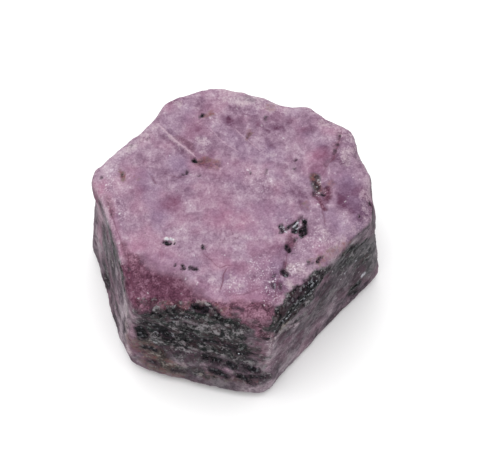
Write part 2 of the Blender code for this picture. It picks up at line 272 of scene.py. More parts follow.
# Dark grains and knots.
darkGrains = {
    "patchLeft": [([(5, -2.1), (5.2, -2.6)], 0.4, 1), ([(5.4, -2.5), (5.6, -2.2)], 0.34, 0.7)],
    "patchNeck": [([(5.8, -2), (6.2, -1.9)], 0.4, 0.7)],
    "patchCore": [([(6.5, -1.7), (6.5, -2.4)], 0.5, 1)],
    "patchRight": [([(7.35, -1.3), (7.4, -2.4)], 0.4, 1)],
    "patchFoot": [([(7.1, -2.2), (7.2, -2.8)], 0.42, 1.05)],
    "patchTail": [([(6.7, -3.2), (6.6, -3.6)], 0.26, 0.6)],
    "patchHook": [([(6.9, -0.95), (6.6, -1.3)], 0.28, 0.7)],
    "tailSpot": [([(5.8, -4.3), (6.15, -4.65)], 0.4, 1)],
    "rimSpot": [([(5.75, -7), (6.1, -7.35)], 0.42, 1.05)],
    "rimDot": [([(-13.7, 1.7)], 0.28, 0.7)],
    "rimBrown": [([(1.4, -11.4, 16), (2.2, -11.6, 16)], 0.34, 0.5)],
    # the dark line under the chip is a painted shadow
    "chipShadowLine": [([(-6.4, -4.88), (-6, -4.95), (-5.6, -4.92)], 0.16, 1.1)],
    "ovalSpot": [([(-2.5, -5.1), (-2.5, -5.35)], 0.25, 0.95)],
    "dot": [([(-5, -7.4)], 0.26, 0.9), ([(-4.25, -7.4), (-4.2, -7.7)], 0.32, 1)],
    "longDot": [([(-3.5, -7.6), (-2.9, -7.65)], 0.34, 0.8)],
    "ridgeEnd": [([(-4.6, 4.65), (-4.45, 4.55)], 0.26, 0.85)],
    "ridgeEndTail": [([(-4.3, 4.6), (-3.8, 4.7)], 0.18, 0.6)],
    "backSpot": [([(-4.55, 9.65), (-4.25, 9.85)], 0.3, 0.9)],
    "leftDot": [([(-12.4, -2.4)], 0.36, 0.45)],
    "leftStreak": [([(-12.1, -3.9, 14.8), (-11.8, -4.6, 13.8)], 0.7, 0.8)],
    "leftKnot": [([(-13.1, -3.3, 2.8), (-13, -3.5, 2)], 1.2, 0.7)],
    "greyDot": [([(-5.1, 3.3), (-5.15, 3)], 0.25, 0.75), ([(-5.45, 2.85)], 0.22, 0.7)],
    "farSpeck": [([(2.2, 10.2), (2.2, 9.8)], 0.28, 0.45)],
    "middleSpot": [([(5.7, 5.5)], 0.24, 0.9), ([(5.65, 4.55)], 0.2, 0.5)],
    "middleGrey": [([(2.9, 4.2), (2.85, 3.8)], 0.34, 0.36)],
    "clusterTop": [([(8, 3.8), (8.2, 3.65)], 0.24, 0.6)],
    "clusterCore": [([(7.95, 3.15), (8.1, 2.95)], 0.28, 0.9), ([(8.35, 2.8), (8.3, 2.6)], 0.26, 0.7)],
    "clusterFoot": [([(7.9, 2.1), (8, 1.8)], 0.24, 0.5)],
    "clusterRight": [([(8.75, 1.95), (9.05, 1.8)], 0.28, 0.8)],
    "creaseHigh": [([(9.95, 8.7), (9.9, 8.4)], 0.2, 0.4)],
    "creaseKnot": [([(9.85, 7.65)], 0.28, 0.65)],
    "creaseLow": [([(9.7, 6.9), (9.6, 6.5)], 0.24, 0.4)],
    "rightRimDot": [([(13.8, 1.85, 15.6)], 0.4, 0.9), ([(12.8, -0.2, 16.6)], 0.3, 0.8)],
    "rightSlit": [([(13.6, -0.7, 12.5), (13.2, -1.3, 12.5), (12.7, -2, 12.5)], 0.5, 1.5)],
    "rightSlitUpper": [([(12.8, -2, 13.5), (12.3, -2.6, 13.9), (11.9, -3.1, 14)], 0.5, 1.3)],
    "rightKnot": [([(13.2, -1.7, 4.3), (12.7, -2.3, 3.5)], 1, 1.2)],
    "rightKnotLow": [([(12.7, -2.1, 2.7), (13.1, -1.6, 2.1)], 0.8, 0.95)],
    "curl": [([(9.35, -5.1), (9.1, -5.6)], 0.3, 0.75)],
    "ringLeft": [([(8.7, -5.75), (8.2, -5.9)], 0.16, 0.45)],
    "frontRimDots": [([(4.9, -8.6), (5, -8.9)], 0.4, 0.6)],
    "frontRimDark": [([(5.6, -8.5), (5.7, -9)], 0.34, 0.6)],
    "frontKnot": [
        ([(-7.6, -11.7, 10.9), (-7.2, -11.7, 10.6)], 0.7, 0.95),
        ([(-8.2, -11.8, 9.2), (-8, -11.8, 8.3)], 1.05, 1.3),
        ([(-6.4, -11.8, 10.4), (-5.4, -11.9, 9.2)], 0.95, 1.3),
        ([(-5, -11.9, 13.6), (-4.6, -11.9, 13.3)], 0.6, 1),
        ([(-3.7, -11.9, 14.1), (-3.1, -11.9, 13.9)], 0.7, 1),
        ([(-2.8, -12.1, 9.9), (-2.4, -12.1, 9.5)], 0.7, 1),
        ([(-1.8, -12.3, 9.4), (-0.4, -12.4, 9.6)], 0.7, 1), ([(0.8, -12.6, 9.4), (1.5, -12.7, 9)], 0.7, 1),
    ],
    "redDot": [([(-3.95, 2.85)], 0.26, 0.6)],
    "brownSpeck": [([(0.75, 8.1), (0.6, 7.6)], 0.28, 0.4)],
    "bandLip": [([(-2.8, -11.5, 15.3), (-1.4, -11.6, 15.3)], 0.55, 1)],
    "bandCore": [([(5.9, -11.4, 13.4), (6.8, -10.3, 14), (8, -8.7, 14.3), (8.7, -7.8, 14.6)], 1.6, 1.4)],
    "bandCoreEnd": [([(9.5, -6.5, 15.1), (10.1, -5.6, 14.6)], 0.7, 0.9)],
    "footKnot": [
        ([(-1.6, -12.5, 5.9), (-0.2, -12.5, 5.6)], 0.95, 1), ([(1, -12.9, 5.4), (1.6, -12.9, 5)], 0.9, 1),
        ([(2.5, -13, 5.6), (3.9, -13.2, 5.2)], 0.7, 0.9),
        ([(2.1, -13.4, 3.8), (2.7, -13.4, 3.7)], 0.75, 0.95),
        ([(3.3, -13.4, 4.2), (4.6, -13.3, 4.1)], 0.6, 0.85),
        ([(-7.4, -12.5, 3.3), (-6.8, -12.5, 3.2)], 0.8, 0.8),
        ([(-0.6, -13, 3.9), (0.6, -13, 3.5)], 0.9, 0.95), ([(3, -13.2, 3.2), (3.6, -13.3, 2.6)], 0.6, 0.7),
        ([(-4.6, -12.9, 2.8), (-3.8, -13, 2.7)], 0.7, 0.6),
    ],
    "footBrown": [([(-7.8, -12.1, 5.9), (-6.9, -12.1, 5.7)], 0.7, 0.9)],
    "edgeStreak": [
        ([(1.7, -12.6, 8.2), (2.6, -12.6, 8.1)], 0.7, 0.9),
        ([(3.2, -12.6, 8.2), (3.8, -12.6, 8.2)], 0.36, 0.8),
        ([(4.4, -12.6, 12.1), (4.8, -12.5, 12)], 0.4, 0.8),
        ([(0.9, -12.6, 9.6), (1.4, -12.6, 9.4)], 0.35, 0.8),
    ],
    "cornerDot": [([(-11.7, 2.45), (-11.65, 2.1)], 0.22, 0.6)],
}

# Rust and olive stains.
rustStains = {
    "ridgeEndRust": [([(-3.8, 4.5), (-2.4, 4.3)], 1, 0.5)],
    "ridgeEndRed": [([(-2.9, 4.85), (-2.5, 4.6)], 0.35, 0.9)],
    "backRust": [([(-3.8, 10), (-3.3, 10.15)], 0.4, 0.9), ([(-4.1, 9.3)], 0.3, 0.7)],
    "backStain": [([(0.4, 13.2, 7.6), (2.4, 13.2, 8)], 0.9, 0.5)],
    "cornerRust": [([(-11.8, 2.3), (-11.4, 1.6)], 0.6, 1.2)],
    "cornerYellow": [([(-10.3, 2), (-9.9, 1.9)], 0.4, 0.5)],
    "clusterRust": [([(7.8, 3.7), (8.2, 3), (8.5, 2.5)], 0.75, 0.9)],
    "clusterOliveRust": [([(9.4, 3.3), (9.9, 3)], 0.6, 0.9)],
    "redBrown": [([(7.1, 0.6), (7.4, 0)], 0.45, 0.5)],
    "farRim": [([(2.1, 11.5), (2.9, 11.4)], 0.5, 0.6)],
    "farSpeckRust": [([(0.85, 8.3), (0.6, 7.7)], 0.48, 0.9)],
    "curlRust": [([(9.4, -4.9), (9, -5.7), (8.4, -5.9)], 0.42, 0.6)],
    "rightRimRust": [([(11.6, -3.3, 16), (11.6, -3.8, 14.9)], 0.4, 0.6)],
    "rightRim": [([(9.4, -5.4, 16.2), (11, -4, 16.1), (12.2, -2.6, 15.9)], 0.8, 0.55)],
    "rightStain": [([(13.8, -0.9, 3.9)], 0.8, 0.35)],
    "bandFootRust": [([(5.9, -11.4, 11.9), (6.6, -10.7, 11.8)], 0.7, 0.9)],
    "bandRust": [([(-6, -11.4, 14.8), (-3.2, -11.2, 15.2), (0.8, -11.5, 15.8)], 0.8, 0.45)],
    "edgeRust": [([(5.9, -11.4, 11.8), (6.1, -11.2, 12.2)], 0.55, 0.9)],
    "footRust": [
        ([(-8, -12, 6.2), (-6.6, -12.4, 4.6), (-5.4, -12.6, 3.6)], 2.2, 1),
        ([(-7.6, -12.5, 2.6), (-4.4, -12.9, 2.2)], 1.6, 0.8),
        ([(-1.6, -13, 3), (3.4, -13.3, 3.4)], 1.2, 0.5),
    ],
    "lineRust": [([(-4, 1.6), (-3.4, 2.2)], 0.35, 0.3)],
}

# Clear, darker corundum: deep purple.
deepPurple = {
    "bevelCore": [([(-8.8, -9.2, 15.2), (-6.8, -9.9, 15.3), (-4.8, -10.4, 15.4)], 3.1, 1.4)],
    "bevelLeft": [([(-9.5, -7.9, 15.3), (-9.2, -9.6, 14.9), (-8.6, -10.9, 14.4)], 1.5, 1.3)],
    "bevelFoot": [([(-7.8, -11.2, 14.5), (-5.4, -11, 15)], 1.3, 0.9)],
    "bevelRight": [([(-4.8, -10.3, 15.4), (-2, -10.9, 15.6)], 1.5, 0.9)],
    "bevelTop": [([(-9.6, -6.9, 15.6), (-8.9, -7.2, 15.7)], 0.9, 0.7)],
    "ridgeGroove": [([(-6.6, 7), (-5.8, 6.6), (-4.9, 6)], 0.6, 0.6)],
    "ridgeGrooveEnd": [([(-5.1, 6.3), (-4.8, 5.9)], 0.5, 0.5)],
    "clusterPurple": [([(9.3, 2.5), (9.5, 1.5)], 0.6, 1.3)],
    "clusterTail": [([(8, 1.9), (8.6, 1.2), (9.2, 0.3)], 0.5, 1.1)],
    "patchPurple": [([(6.2, -3.1), (6.1, -4.2)], 0.7, 0.9)],
    "tailPurple": [([(5.8, -5.9), (5.9, -6.6)], 0.45, 0.6)],
    "rimRed": [([(-13.3, -0.6), (-13.2, -1.5)], 0.45, 0.35)],
    "line": [([(-8.7, 2.4), (-8.1, 1.6)], 0.26, 0.45)],
    "frontRimShade": [([(-1.2, -11), (0.8, -11.2)], 0.5, 0.3)],
    "creasePurple": [([(9.9, 8.6), (9.8, 7.4), (9.5, 6.2), (8.9, 5.2)], 0.5, 0.45)],
}

# Brownish rose, dull and dark.
duskShade = {
    "frontRim": [([(0.4, -11.5, 15.8), (2.2, -11.6, 16), (4.8, -11.4, 15.9)], 1.4, 1.15)],
    "frontRimMiddle": [([(-3, -11.2, 15.5), (1.2, -11.6, 15.8)], 1.2, 1.1)],
    "frontRimLeft": [([(-8.4, -11.3, 14.4), (-3.4, -11.4, 15.2)], 0.9, 0.9)],
    "frontEdge": [([(1.4, -12.2, 15), (4.2, -12.5, 14.8), (4.6, -12.6, 12.4)], 1.2, 1)],
    "frontEdgeLow": [([(4.2, -12.6, 11), (4.4, -13, 7)], 0.9, 0.5)],
    "leftOfDeep": [([(-10.4, -5.6), (-9.4, -7.6), (-8.8, -9.4)], 0.8, 0.6)],
    "leftRim": [([(-12.9, -0.9), (-12.2, -2.6)], 0.6, 0.5)],
    "ridgeEnd": [([(-3.9, 4.4), (-2.3, 4.1)], 1, 0.55)],
}

# A dark grey-green veil, mostly on the prism faces.
smokeVeil = {
    "leftUpper": [([(-12.7, -3, 14), (-12.2, -4.2, 13.6), (-11.6, -5.6, 13)], 1.6, 0.9)],
    "leftMiddle": [([(-13.4, -2, 9.4), (-12.2, -4.8, 9.4)], 2.4, 0.6)],
    "leftLow": [([(-13.2, -3, 4.6), (-12.4, -5.4, 3.4)], 2.2, 0.7)],
    "leftRim": [([(-11.2, -6.2, 14.6), (-10, -9, 13.6)], 1.3, 0.6)],
    "rightUpper": [([(11.2, -3.9, 13.4), (12.5, -2.3, 12.4), (13.6, -0.8, 10.4)], 2.6, 1)],
    "rightMiddle": [([(10.2, -5.4, 10.8), (12.6, -2.4, 8.8)], 1.8, 0.5)],
    "rightEnd": [([(14.1, -0.3, 10), (14.5, 0.2, 5)], 2.2, 1)],
    "rightWhole": [([(8.6, -8.2, 7.4), (12.6, -2.4, 7)], 3.4, 0.55)],
    "rightBelowBand": [([(6.4, -10.9, 9.6), (9.4, -7, 9.8)], 1.6, 0.5)],
    "rightFoot": [([(5.8, -12.2, 4.6), (8.6, -8, 3.8)], 1.6, 0.4)],
    "rightBack": [([(9.6, 9.8, 9.8), (12.8, 5, 6), (14.2, 2.4, 4.4)], 3, 0.7)],
    "backLeft": [([(-13.6, 4.4, 12.4), (-11, 8.4, 11.2), (-7.4, 11.4, 12.4)], 2.8, 0.7)],
    "backLeftLow": [([(-12.6, 6, 4), (-7.6, 11.2, 3.4)], 2.6, 0.5)],
    "back": [([(-3.6, 13, 4.6), (1.6, 13.2, 6.4), (5.6, 12.4, 5.2)], 3, 0.7)],
    "backUpper": [([(-2.2, 13, 14.2), (5.4, 12.4, 13.6)], 1.6, 0.5)],
    "cluster": [([(8, 3.6), (8.1, 2.8)], 1, 1.2)],
    "frontFoot": [([(-7, -12.6, 2.4), (-2, -13.2, 2), (2.2, -13.5, 2)], 1.5, 0.5)],
}

# Rose pink and lilac drifts.
roseDrift = {
    "heart": [([(-2.6, 0.4), (-0.8, -1), (0.6, -1.8)], 2.8, 0.6)],
    "frontRim": [([(1, -10.8), (3, -11), (4.2, -10.6)], 1.5, 0.7)],
    "frontEdge": [([(2.6, -11.7, 16), (4.2, -12.2, 15.8)], 0.9, 0.9)],
    "frontMiddle": [([(-2.6, -9.6), (0.4, -10.2)], 1.4, 0.6)],
    "frontLeft": [([(-8.6, -5.2), (-7, -6.2), (-5.4, -7.2)], 2.2, 0.8)],
    "frontLeftEdge": [([(-9.2, -11.3, 12.6), (-9.3, -11.7, 8), (-9.2, -12, 4)], 1.1, 1)],
    "frontEndStreaks": [([(3.2, -12.7, 9.6), (4.4, -12.8, 9)], 0.8, 0.8)],
    "leftRim": [([(-13.2, -0.6), (-11.6, -4.6), (-10.4, -7.4)], 1.3, 0.8)],
    "leftOfDeep": [([(-10.6, -5.4), (-9.4, -6.6)], 1.2, 0.6)],
    "leftCorner": [([(-13.9, 0.4, 15.2), (-13.9, -0.2, 12), (-14, -0.8, 7)], 1.5, 1.8)],
    "peach": [([(-4.1, 1.4), (-3.4, 2.2)], 0.6, 0.5)],
    "right": [([(7.6, 6.2), (9, 6.6)], 1.2, 0.55)],
    "rightCorner": [([(9.4, -4.2), (11.2, -3.8, 15.9)], 1.2, 0.6)],
    "footRight": [([(4, -12.6, 10.4), (4.6, -13, 6.4)], 1, 0.7)],
    "backCorner": [([(-10, 6.2), (-9.4, 6.9)], 1, 0.4)],
    "backStreak": [([(-3, 13.3, 9), (5, 12.8, 7.6)], 0.7, 0.7)],
    "backLeftStreak": [([(-12, 7, 6.4), (-7, 11.6, 6.2)], 0.8, 0.7)],
    "farRight": [([(8.2, 9.6), (9.6, 9.4)], 0.8, 0.3)],
    "ridgeSouth": [([(-4, 4.4), (-1.8, 3.8), (1, 4)], 1.9, 0.6)],
    "middleFront": [([(-0.7, -7), (-0.5, -5.2)], 1.4, 0.5)],
}
lilacDrift = {
    "leftMiddle": [([(-9.4, 2.2), (-8.4, 0.1), (-7.2, -2.4)], 1.6, 0.9)],
    "greyPatch": [([(-6.6, 4.4), (-5.6, 3.8)], 1.3, 0.9)],
    "greySpot": [([(3, 4.2), (4, 3.8)], 0.9, 0.7)],
    "backMiddle": [([(-1, 7.4), (0.6, 6), (2.8, 5.6)], 1.5, 0.7)],
    "right": [([(10.4, 3.8), (11.6, 2.8)], 1.6, 0.8)],
    "rightFront": [([(10.4, -1.2), (11.6, -1.9)], 1.6, 0.6)],
    "rightOfHeart": [([(3, -0.6), (5.2, -1)], 1.9, 0.7)],
    "rightRim": [([(12, 1.4), (12.9, 0.4), (12.9, -0.8)], 1.3, 0.9)],
    "frontMiddle": [([(0.4, -8.2), (1.6, -9)], 1.4, 0.6)],
    "frontRight": [([(3.6, -6.4), (4.8, -6.4)], 1.2, 0.5)],
    "farLeft": [([(-7.6, 8.8), (-6, 9.8)], 1.4, 0.4)],
    "crossRight": [([(9, -0.6), (9.9, 0.2)], 0.7, 0.6)],
    "belowHeart": [([(2.6, -2.8), (3.6, -2.6)], 1.5, 0.6)],
}

# Lighter and darker places: partly the stone's own tone, partly painted light and painted shade, such as the
# darker right-hand end and the shade beside the ridge.
paleToneAndPaintedLight = {
    "leftRim": [([(-14, 0.6, 15.5), (-13.4, -1, 15.3), (-12.2, -2.6, 15.5)], 1.7, 0.2)],
    "leftCorner": [([(-14, 0.2, 13), (-14, -0.6, 8.4), (-14.1, -1.1, 4)], 1.5, 0.28)],
    "leftPale": [([(-12.6, -3.8, 9.4), (-12.3, -4.4, 8.2)], 1, 0.3)],
    "leftEdgePale": [([(-10.5, -9.3, 7.6), (-10.3, -9.6, 5.4)], 0.9, 0.24)],
    "leftLow": [([(-11.8, -7.2, 4.4), (-10.6, -9.6, 2.6)], 1.8, 0.32)],
    "leftLower": [([(-11, -8.4, 3), (-10, -10.6, 4.4)], 1.6, 0.36)],
    "farLeftRim": [([(-12.8, 2.8), (-11.6, 0.8)], 1.5, 0.16)],
    "farLeft": [([(-7.8, 9.4), (-6.7, 10.4)], 1.2, 0.16)],
    "farRight": [([(4, 11.6), (5.6, 11.4)], 1.1, 0.2)],
    "middle": [([(-2, 1.2), (-1, 1.6)], 1.3, 0.2)],
    "rightFoot": [([(6.8, -10.6, 3), (9.2, -7.2, 2.6)], 2.2, 0.2)],
    "frontFoot": [([(3, -13.6, 1.6), (5, -13.4, 2)], 1.7, 0.34)],
    "frontLeftEdge": [([(-9.2, -11.3, 12), (-9.3, -11.8, 6)], 1.1, 0.24)],
    "frontFootLeft": [([(-6.6, -12.9, 1.6), (-4.2, -13.1, 1.6)], 1.3, 0.2)],
    "frontRightEnd": [([(2.4, -12.7, 11.6), (4.4, -12.8, 10), (4.2, -13, 6.6)], 2.2, 0.26)],
    "backShoulder": [([(-3.8, 13.2, 14.4), (3.2, 13.2, 14.8)], 1.6, 0.2)],
    "backMiddle": [([(6.4, 12, 10.4), (8.2, 10.8, 9)], 1.6, 0.24)],
    "backLeftShoulder": [([(-14.2, 3.2, 9), (-13.8, 4.2, 5)], 1.8, 0.24)],
}
darkToneAndPaintedShade = {
    "ridgeBelow": [([(-8.1, 7.1), (-6, 5.6)], 0.4, 0.25)],
    "ridgeNorth": [([(-6, 5.6), (-2, 6)], 1.9, 0.12)],
    "ridgeFoot": [([(-4.2, 5.4), (-3.4, 4.2)], 1, 0.2)],
    "backPatch": [([(-4.3, 11.2), (-4, 10.9)], 1.1, 0.34)],
    "backBlob": [([(-2.2, 9.6), (-1.7, 9.4)], 0.83, 0.42), ([(-1, 10.7)], 0.88, 0.23)],
    "backGrey": [([(-4.9, 8.2), (-4.2, 8.6)], 0.8, 0.3)],
    "backFoot": [([(-2.4, 13.2, 2.8), (4.4, 12.8, 2.4)], 1.8, 0.16)],
    "backLeftMiddle": [([(-10.8, 8.8, 6.2), (-6.6, 12, 6.8)], 1.6, 0.16)],
    "backMiddle": [([(-0.2, 6.6), (1.2, 5.8)], 1.2, 0.1)],
    "middleBlob": [([(-6.8, -0.6), (-6, -0.7)], 1.1, 0.3), ([(-9.4, 0.6), (-9, 0.4)], 0.66, 0.2)],
    "middle": [([(-0.4, 2.6), (0.8, 2)], 1.3, 0.13)],
    "leftBlob": [([(-10.4, 4.6), (-9.9, 3.3)], 0.77, 0.17)],
    "leftMiddle": [([(-12.9, -3, 5.6), (-12.2, -5.2, 3)], 1.8, 0.12)],
    "leftRimBelow": [([(-12.3, -2.2), (-11.6, -3.6)], 0.9, 0.16)],
    "leftWhole": [([(-13.4, -1.6, 10), (-12, -5.4, 9.6)], 2.6, 0.1)],
    "farBlob": [
        ([(3.7, 8.9), (4.3, 8.9)], 0.77, 0.28), ([(6.1, 9.1), (6.7, 9.1)], 0.83, 0.25),
        ([(2.9, 7.4), (3.4, 6.9)], 0.83, 0.25), ([(4.3, 10.1), (4.9, 9.9)], 0.55, 0.2),
    ],
    "farMiddle": [([(-6.6, 8), (-4, 8.2)], 1.9, 0.12)],
    "farRight": [([(2, 8.6), (3.8, 8.8), (6.2, 9)], 1.7, 0.13)],
    "rightEnd": [([(11, 1.5), (11.9, 0.8), (12.6, 0.2)], 1.21, 0.51)],
    "rightEndUpper": [([(11.2, 3.1), (12.3, 2.4)], 1.43, 0.32)],
    "rightEndLower": [([(12.9, 0.9, 15.8), (13.6, 1.6, 15.2)], 1.32, 0.25)],
    "rightRimMagenta": [([(11.7, 7.2), (11.8, 6.6)], 0.66, 0.2)],
    "rightCorner": [([(13.3, -1.4, 8.4), (13.6, -1.1, 2)], 1.9, 0.26)],
    "rightMiddle": [([(9.4, -6.8, 12), (10.4, -5.4, 11)], 1.6, 0.2)],
    "rightBackMiddle": [([(9.2, 10.2, 11), (10.8, 8.4, 10)], 1.7, 0.16)],
    "rightUpper": [([(9.2, 7.4), (11, 7)], 1.2, 0.1)],
    "rightBandBelow": [([(6.6, -10.8, 10.6), (9.4, -7, 11.4)], 1.6, 0.12)],
    "magentaSpeck": [([(3, 2.15)], 0.44, 0.25)],
    "line": [([(-6.5, 2.5), (-5.9, 2.5)], 0.26, 0.2)],
    "crease": [([(8.2, 4.6), (8.1, 5.6), (8.5, 7)], 1.2, 0.34)],
    "creaseRight": [([(9.6, 6.2), (10.4, 5.2), (10.2, 3.8)], 1.5, 0.15)],
    "clusterWest": [([(4.5, 1.9), (6.5, 2.1), (8, 2)], 1.7, 0.18)],
    "clusterAll": [([(7.8, 4.6), (8.4, 3), (8.7, 1.2)], 1.4, 0.17)],
    "clusterNorthWest": [([(5.8, 5.3), (6.6, 5)], 1.1, 0.1)],
    "patchSouth": [([(5, -4.6), (5.6, -4.9)], 1.2, 0.14)],
    "frontPurple": [([(3.2, -7), (4.4, -7.3)], 1.6, 0.24), ([(5.6, -9), (4, -9.3)], 1.5, 0.16)],
}

# Pale, bruised places.
paleDrift = {
    "farRim": [([(-2.4, 12), (0.6, 11.8), (4.2, 11.2)], 1.1, 0.35)],
    "farRightRim": [([(8, 10.2), (9.4, 9.8), (10.8, 8.4)], 0.8, 0.45)],
    "cornerRim": [([(-7.2, 11.1), (-6.8, 10.9)], 0.5, 0.9)],
    "besideRidge": [([(-4.2, 7), (-3.6, 6.8)], 0.8, 0.5)],
    "pinkPale": [([(-3.7, 5.7)], 0.7, 0.4)],
    "leftRim": [([(-12.8, 3.4), (-10.8, 6), (-9.2, 8.2)], 0.8, 0.35)],
    "leftEdge": [([(-10.6, -9.6, 12.4), (-10, -10.9, 7.6), (-9.6, -11.6, 4)], 0.9, 0.55)],
    "leftLight": [([(-12.2, -4.2, 10.4), (-12, -5, 9.6)], 0.6, 0.5)],
    # the white of the chip is a painted highlight
    "chipHighlight": [([(-6.25, -4.62), (-5.95, -4.55), (-5.7, -4.62)], 0.26, 1.5)],
    "yellowed": [([(6.5, -6.8), (7.4, -6.5)], 0.9, 0.85), ([(6.4, -8.2), (6.8, -8.9)], 0.7, 0.6)],
    "frontPale": [([(0.6, -8.6), (1.6, -9)], 0.9, 0.35), ([(-1, -8.6), (-0.8, -9.6)], 0.9, 0.3)],
    "frontLight": [
        ([(-6.8, -11.8, 9.3), (-6.3, -11.8, 9.2)], 0.36, 0.9), ([(-6.1, -12, 8.5)], 0.32, 1),
        ([(-7.2, -12, 7.1), (-6.8, -12, 7)], 0.36, 0.9),
        ([(-4.5, -11.9, 9.7), (-4.4, -11.9, 9.2)], 0.34, 0.8),
        ([(-1.8, -12, 13.6), (-1.3, -12, 13.5)], 0.36, 0.8),
        ([(-0.7, -12.4, 10.6), (-0.3, -12.4, 10.4)], 0.36, 0.8),
    ],
    "frontEdge": [([(5.1, -12.4, 14.4), (5.1, -12.5, 10.4), (4.9, -12.9, 6.4)], 0.5, 0.35)],
    "edgePale": [([(-2.3, -11, 15.6), (-1.6, -11.1, 15.6)], 0.4, 0.9)],
    "rightOfPatch": [([(9.2, -2.4), (10.4, -3.4)], 1.2, 0.4)],
    "rightCrease": [([(10.6, 6.8), (10.8, 5.6)], 0.8, 0.45)],
    "middle": [([(2.4, 6.2), (3.2, 5.8)], 0.7, 0.4)],
    "cracksRight": [([(0.6, -7.4), (0.3, -9)], 0.3, 0.4)],
    "bandDots": [([(8.8, -7.5, 15.5), (9.1, -7.2, 15.2)], 0.4, 1.1)],
    "bandStreak": [
        ([(5.4, -12.1, 11.2), (6.4, -10.85, 10.9), (7.6, -9.5, 9.5)], 0.5, 0.75),
        ([(5.2, -12.4, 12.8), (6.2, -11.2, 11.4), (7.2, -9.9, 11)], 0.3, 0.6),
    ],
    "footLight": [([(-4.3, -12.7, 4.8), (-3.5, -12.9, 4)], 0.5, 0.7)],
    "streakLight": [([(3.9, -12.7, 8.1), (4.3, -12.7, 8.4)], 0.3, 0.8)],
    "ridge": [([(-8.3, 8), (-6.6, 6.62), (-4.8, 5.2)], 0.36, 0.4)],
}

# Scratches and cracks: path, width, depth, and how dark the line is. The ridge stands proud and is pale.
scratches = {
    "ridge": [([(-8.7, 8.3), (-6.6, 6.6), (-4.6, 5.1)], 0.34, -0.13, -0.9)],
    "ridgeUpper": [([(-7.4, 7.6), (-6.2, 6.8), (-5, 6.1)], 0.4, 0.14, 0.3)],
    "ridgeLower": [([(-8, 7), (-6, 5.5)], 0.34, 0.1, 0.2)],
    "crack": [
        ([(-2.3, -5.9), (-1.5, -6.5), (-0.9, -7.1), (-0.5, -7.3)], 0.24, 0.05, 0.5),
        ([(0.1, -7.4), (-0.1, -7.9), (-0.1, -8.6), (-0.2, -9.5)], 0.26, 0.08, 1),
        ([(-0.5, -7.3), (0, -7), (0.6, -6.9)], 0.2, 0.04, 0.5),
    ],
    "crackBelowPatch": [([(6.6, -3.2), (6.2, -4.2), (6, -5.2), (5.9, -6.6)], 0.34, 0.1, 0.6)],
    "crackPatchLow": [([(5.8, -6.8), (5.3, -8.2), (5.3, -9.6), (5.5, -10.6)], 0.28, 0.08, 0.6)],
    "creaseRight": [
        ([(10, 9.1), (9.9, 7.7), (9.6, 6)], 0.4, 0.12, 0.8),
        ([(9.7, 6.1), (9, 5), (8.7, 4.2)], 0.3, 0.07, 0.5),
    ],
    "clusterCrack": [([(8.4, 1.4), (9, 0.2), (9.4, -1.2)], 0.3, 0.08, 0.6)],
    "lineLeft": [([(-8.7, 2.4), (-8.1, 1.6)], 0.24, 0.06, 0.5)],
    "lineMiddle": [([(-6.6, 2.6), (-5.9, 2.4), (-5.2, 2.6)], 0.2, 0.04, 0.5)],
    "backScratch": [
        ([(-0.6, 8.4), (0.8, 7.2), (1.9, 6.4)], 0.26, 0.06, -0.5),
        ([(-3.4, 8.4), (-1.6, 6.8), (-0.2, 6)], 0.2, 0.03, -0.4),
    ],
    "rimLine": [
        ([(-9.9, -6.6, 15.7), (-9.5, -8.6, 15.3), (-9, -10.2, 14.8), (-8.5, -11.4, 14.1)], 0.3, 0.07, 0.8),
        ([(-12.6, -1.2, 15.8), (-11.6, -3.6, 15.8), (-10.6, -5.6, 15.7)], 0.26, 0.06, 0.6),
    ],
    "bevelLine": [
        ([(-7.6, -9.4, 15.2), (-6.2, -9.1, 15.5), (-5.2, -9.6, 15.6)], 0.2, 0.04, 0.5),
        ([(-8.4, -10, 15), (-6.9, -10.6, 15), (-5.2, -10.4, 15.3)], 0.2, 0.04, 0.5),
    ],
    "frontLine": [
        ([(0.8, -10.2), (2.2, -10), (3.6, -9.2)], 0.22, 0.05, 0.5),
        ([(2, -11.6, 16.1), (3.4, -10.9, 16.3), (4.6, -10.4, 16.3)], 0.22, 0.06, 0.8),
    ],
    "cornerStep": [([(-12.6, 3), (-11, 5)], 0.4, 0.08, 0.2)],
    "chipShelf": [([(-6.3, -4.5), (-5.6, -4.5)], 0.45, -0.1, 0)],
    "chipDrop": [([(-6.45, -4.95), (-5.5, -5.05)], 0.4, 0.08, 0)],
    "rightEdge": [([(5.3, -12.3, 14.8), (5.4, -12.2, 11.6), (5.2, -12.5, 8)], 0.3, 0.07, 0.5)],
    "rightFaceLine": [
        ([(6.2, -11.1, 9.8), (8.6, -8, 9.9), (10.4, -5.4, 10.6)], 0.3, 0.08, 0.5),
        ([(6, -11.5, 6.6), (9, -7.3, 6), (11.6, -3.6, 6.4)], 0.3, 0.07, 0.4),
        ([(9.9, -6, 13.4), (12.4, -2.5, 13.2)], 0.3, 0.08, 0.6),
    ],
    "leftFaceLine": [
        ([(-13.7, -0.6, 12.2), (-12.3, -3.9, 11.6), (-10.9, -7.4, 11.6)], 0.3, 0.07, 0.5),
        ([(-13.6, -1.4, 6.6), (-11.6, -6.4, 6.8)], 0.3, 0.07, 0.5),
    ],
    "baseCrack": [
        ([(-6, -3, 0), (-1, 1, 0), (2, 5.5, 0)], 0.34, 0.1, 0.7),
        ([(3.5, -6.5, 0), (5.5, -1, 0)], 0.3, 0.08, 0.6),
    ],
}

# Bulges of the rims: path, reach, height.
bulges = {
    "farLeftRim": [([(-12.7, 4, 15.6), (-12.2, 4.8, 15.6)], 1.7, 0.3)],
    "leftRim": [([(-14.3, 0.8, 15.3), (-14.4, 0.2, 12)], 2, 0.15)],
    "backRim": [([(-2, 12.9, 15.9), (-1.1, 12.9, 15.9)], 1.5, 0.3)],
}
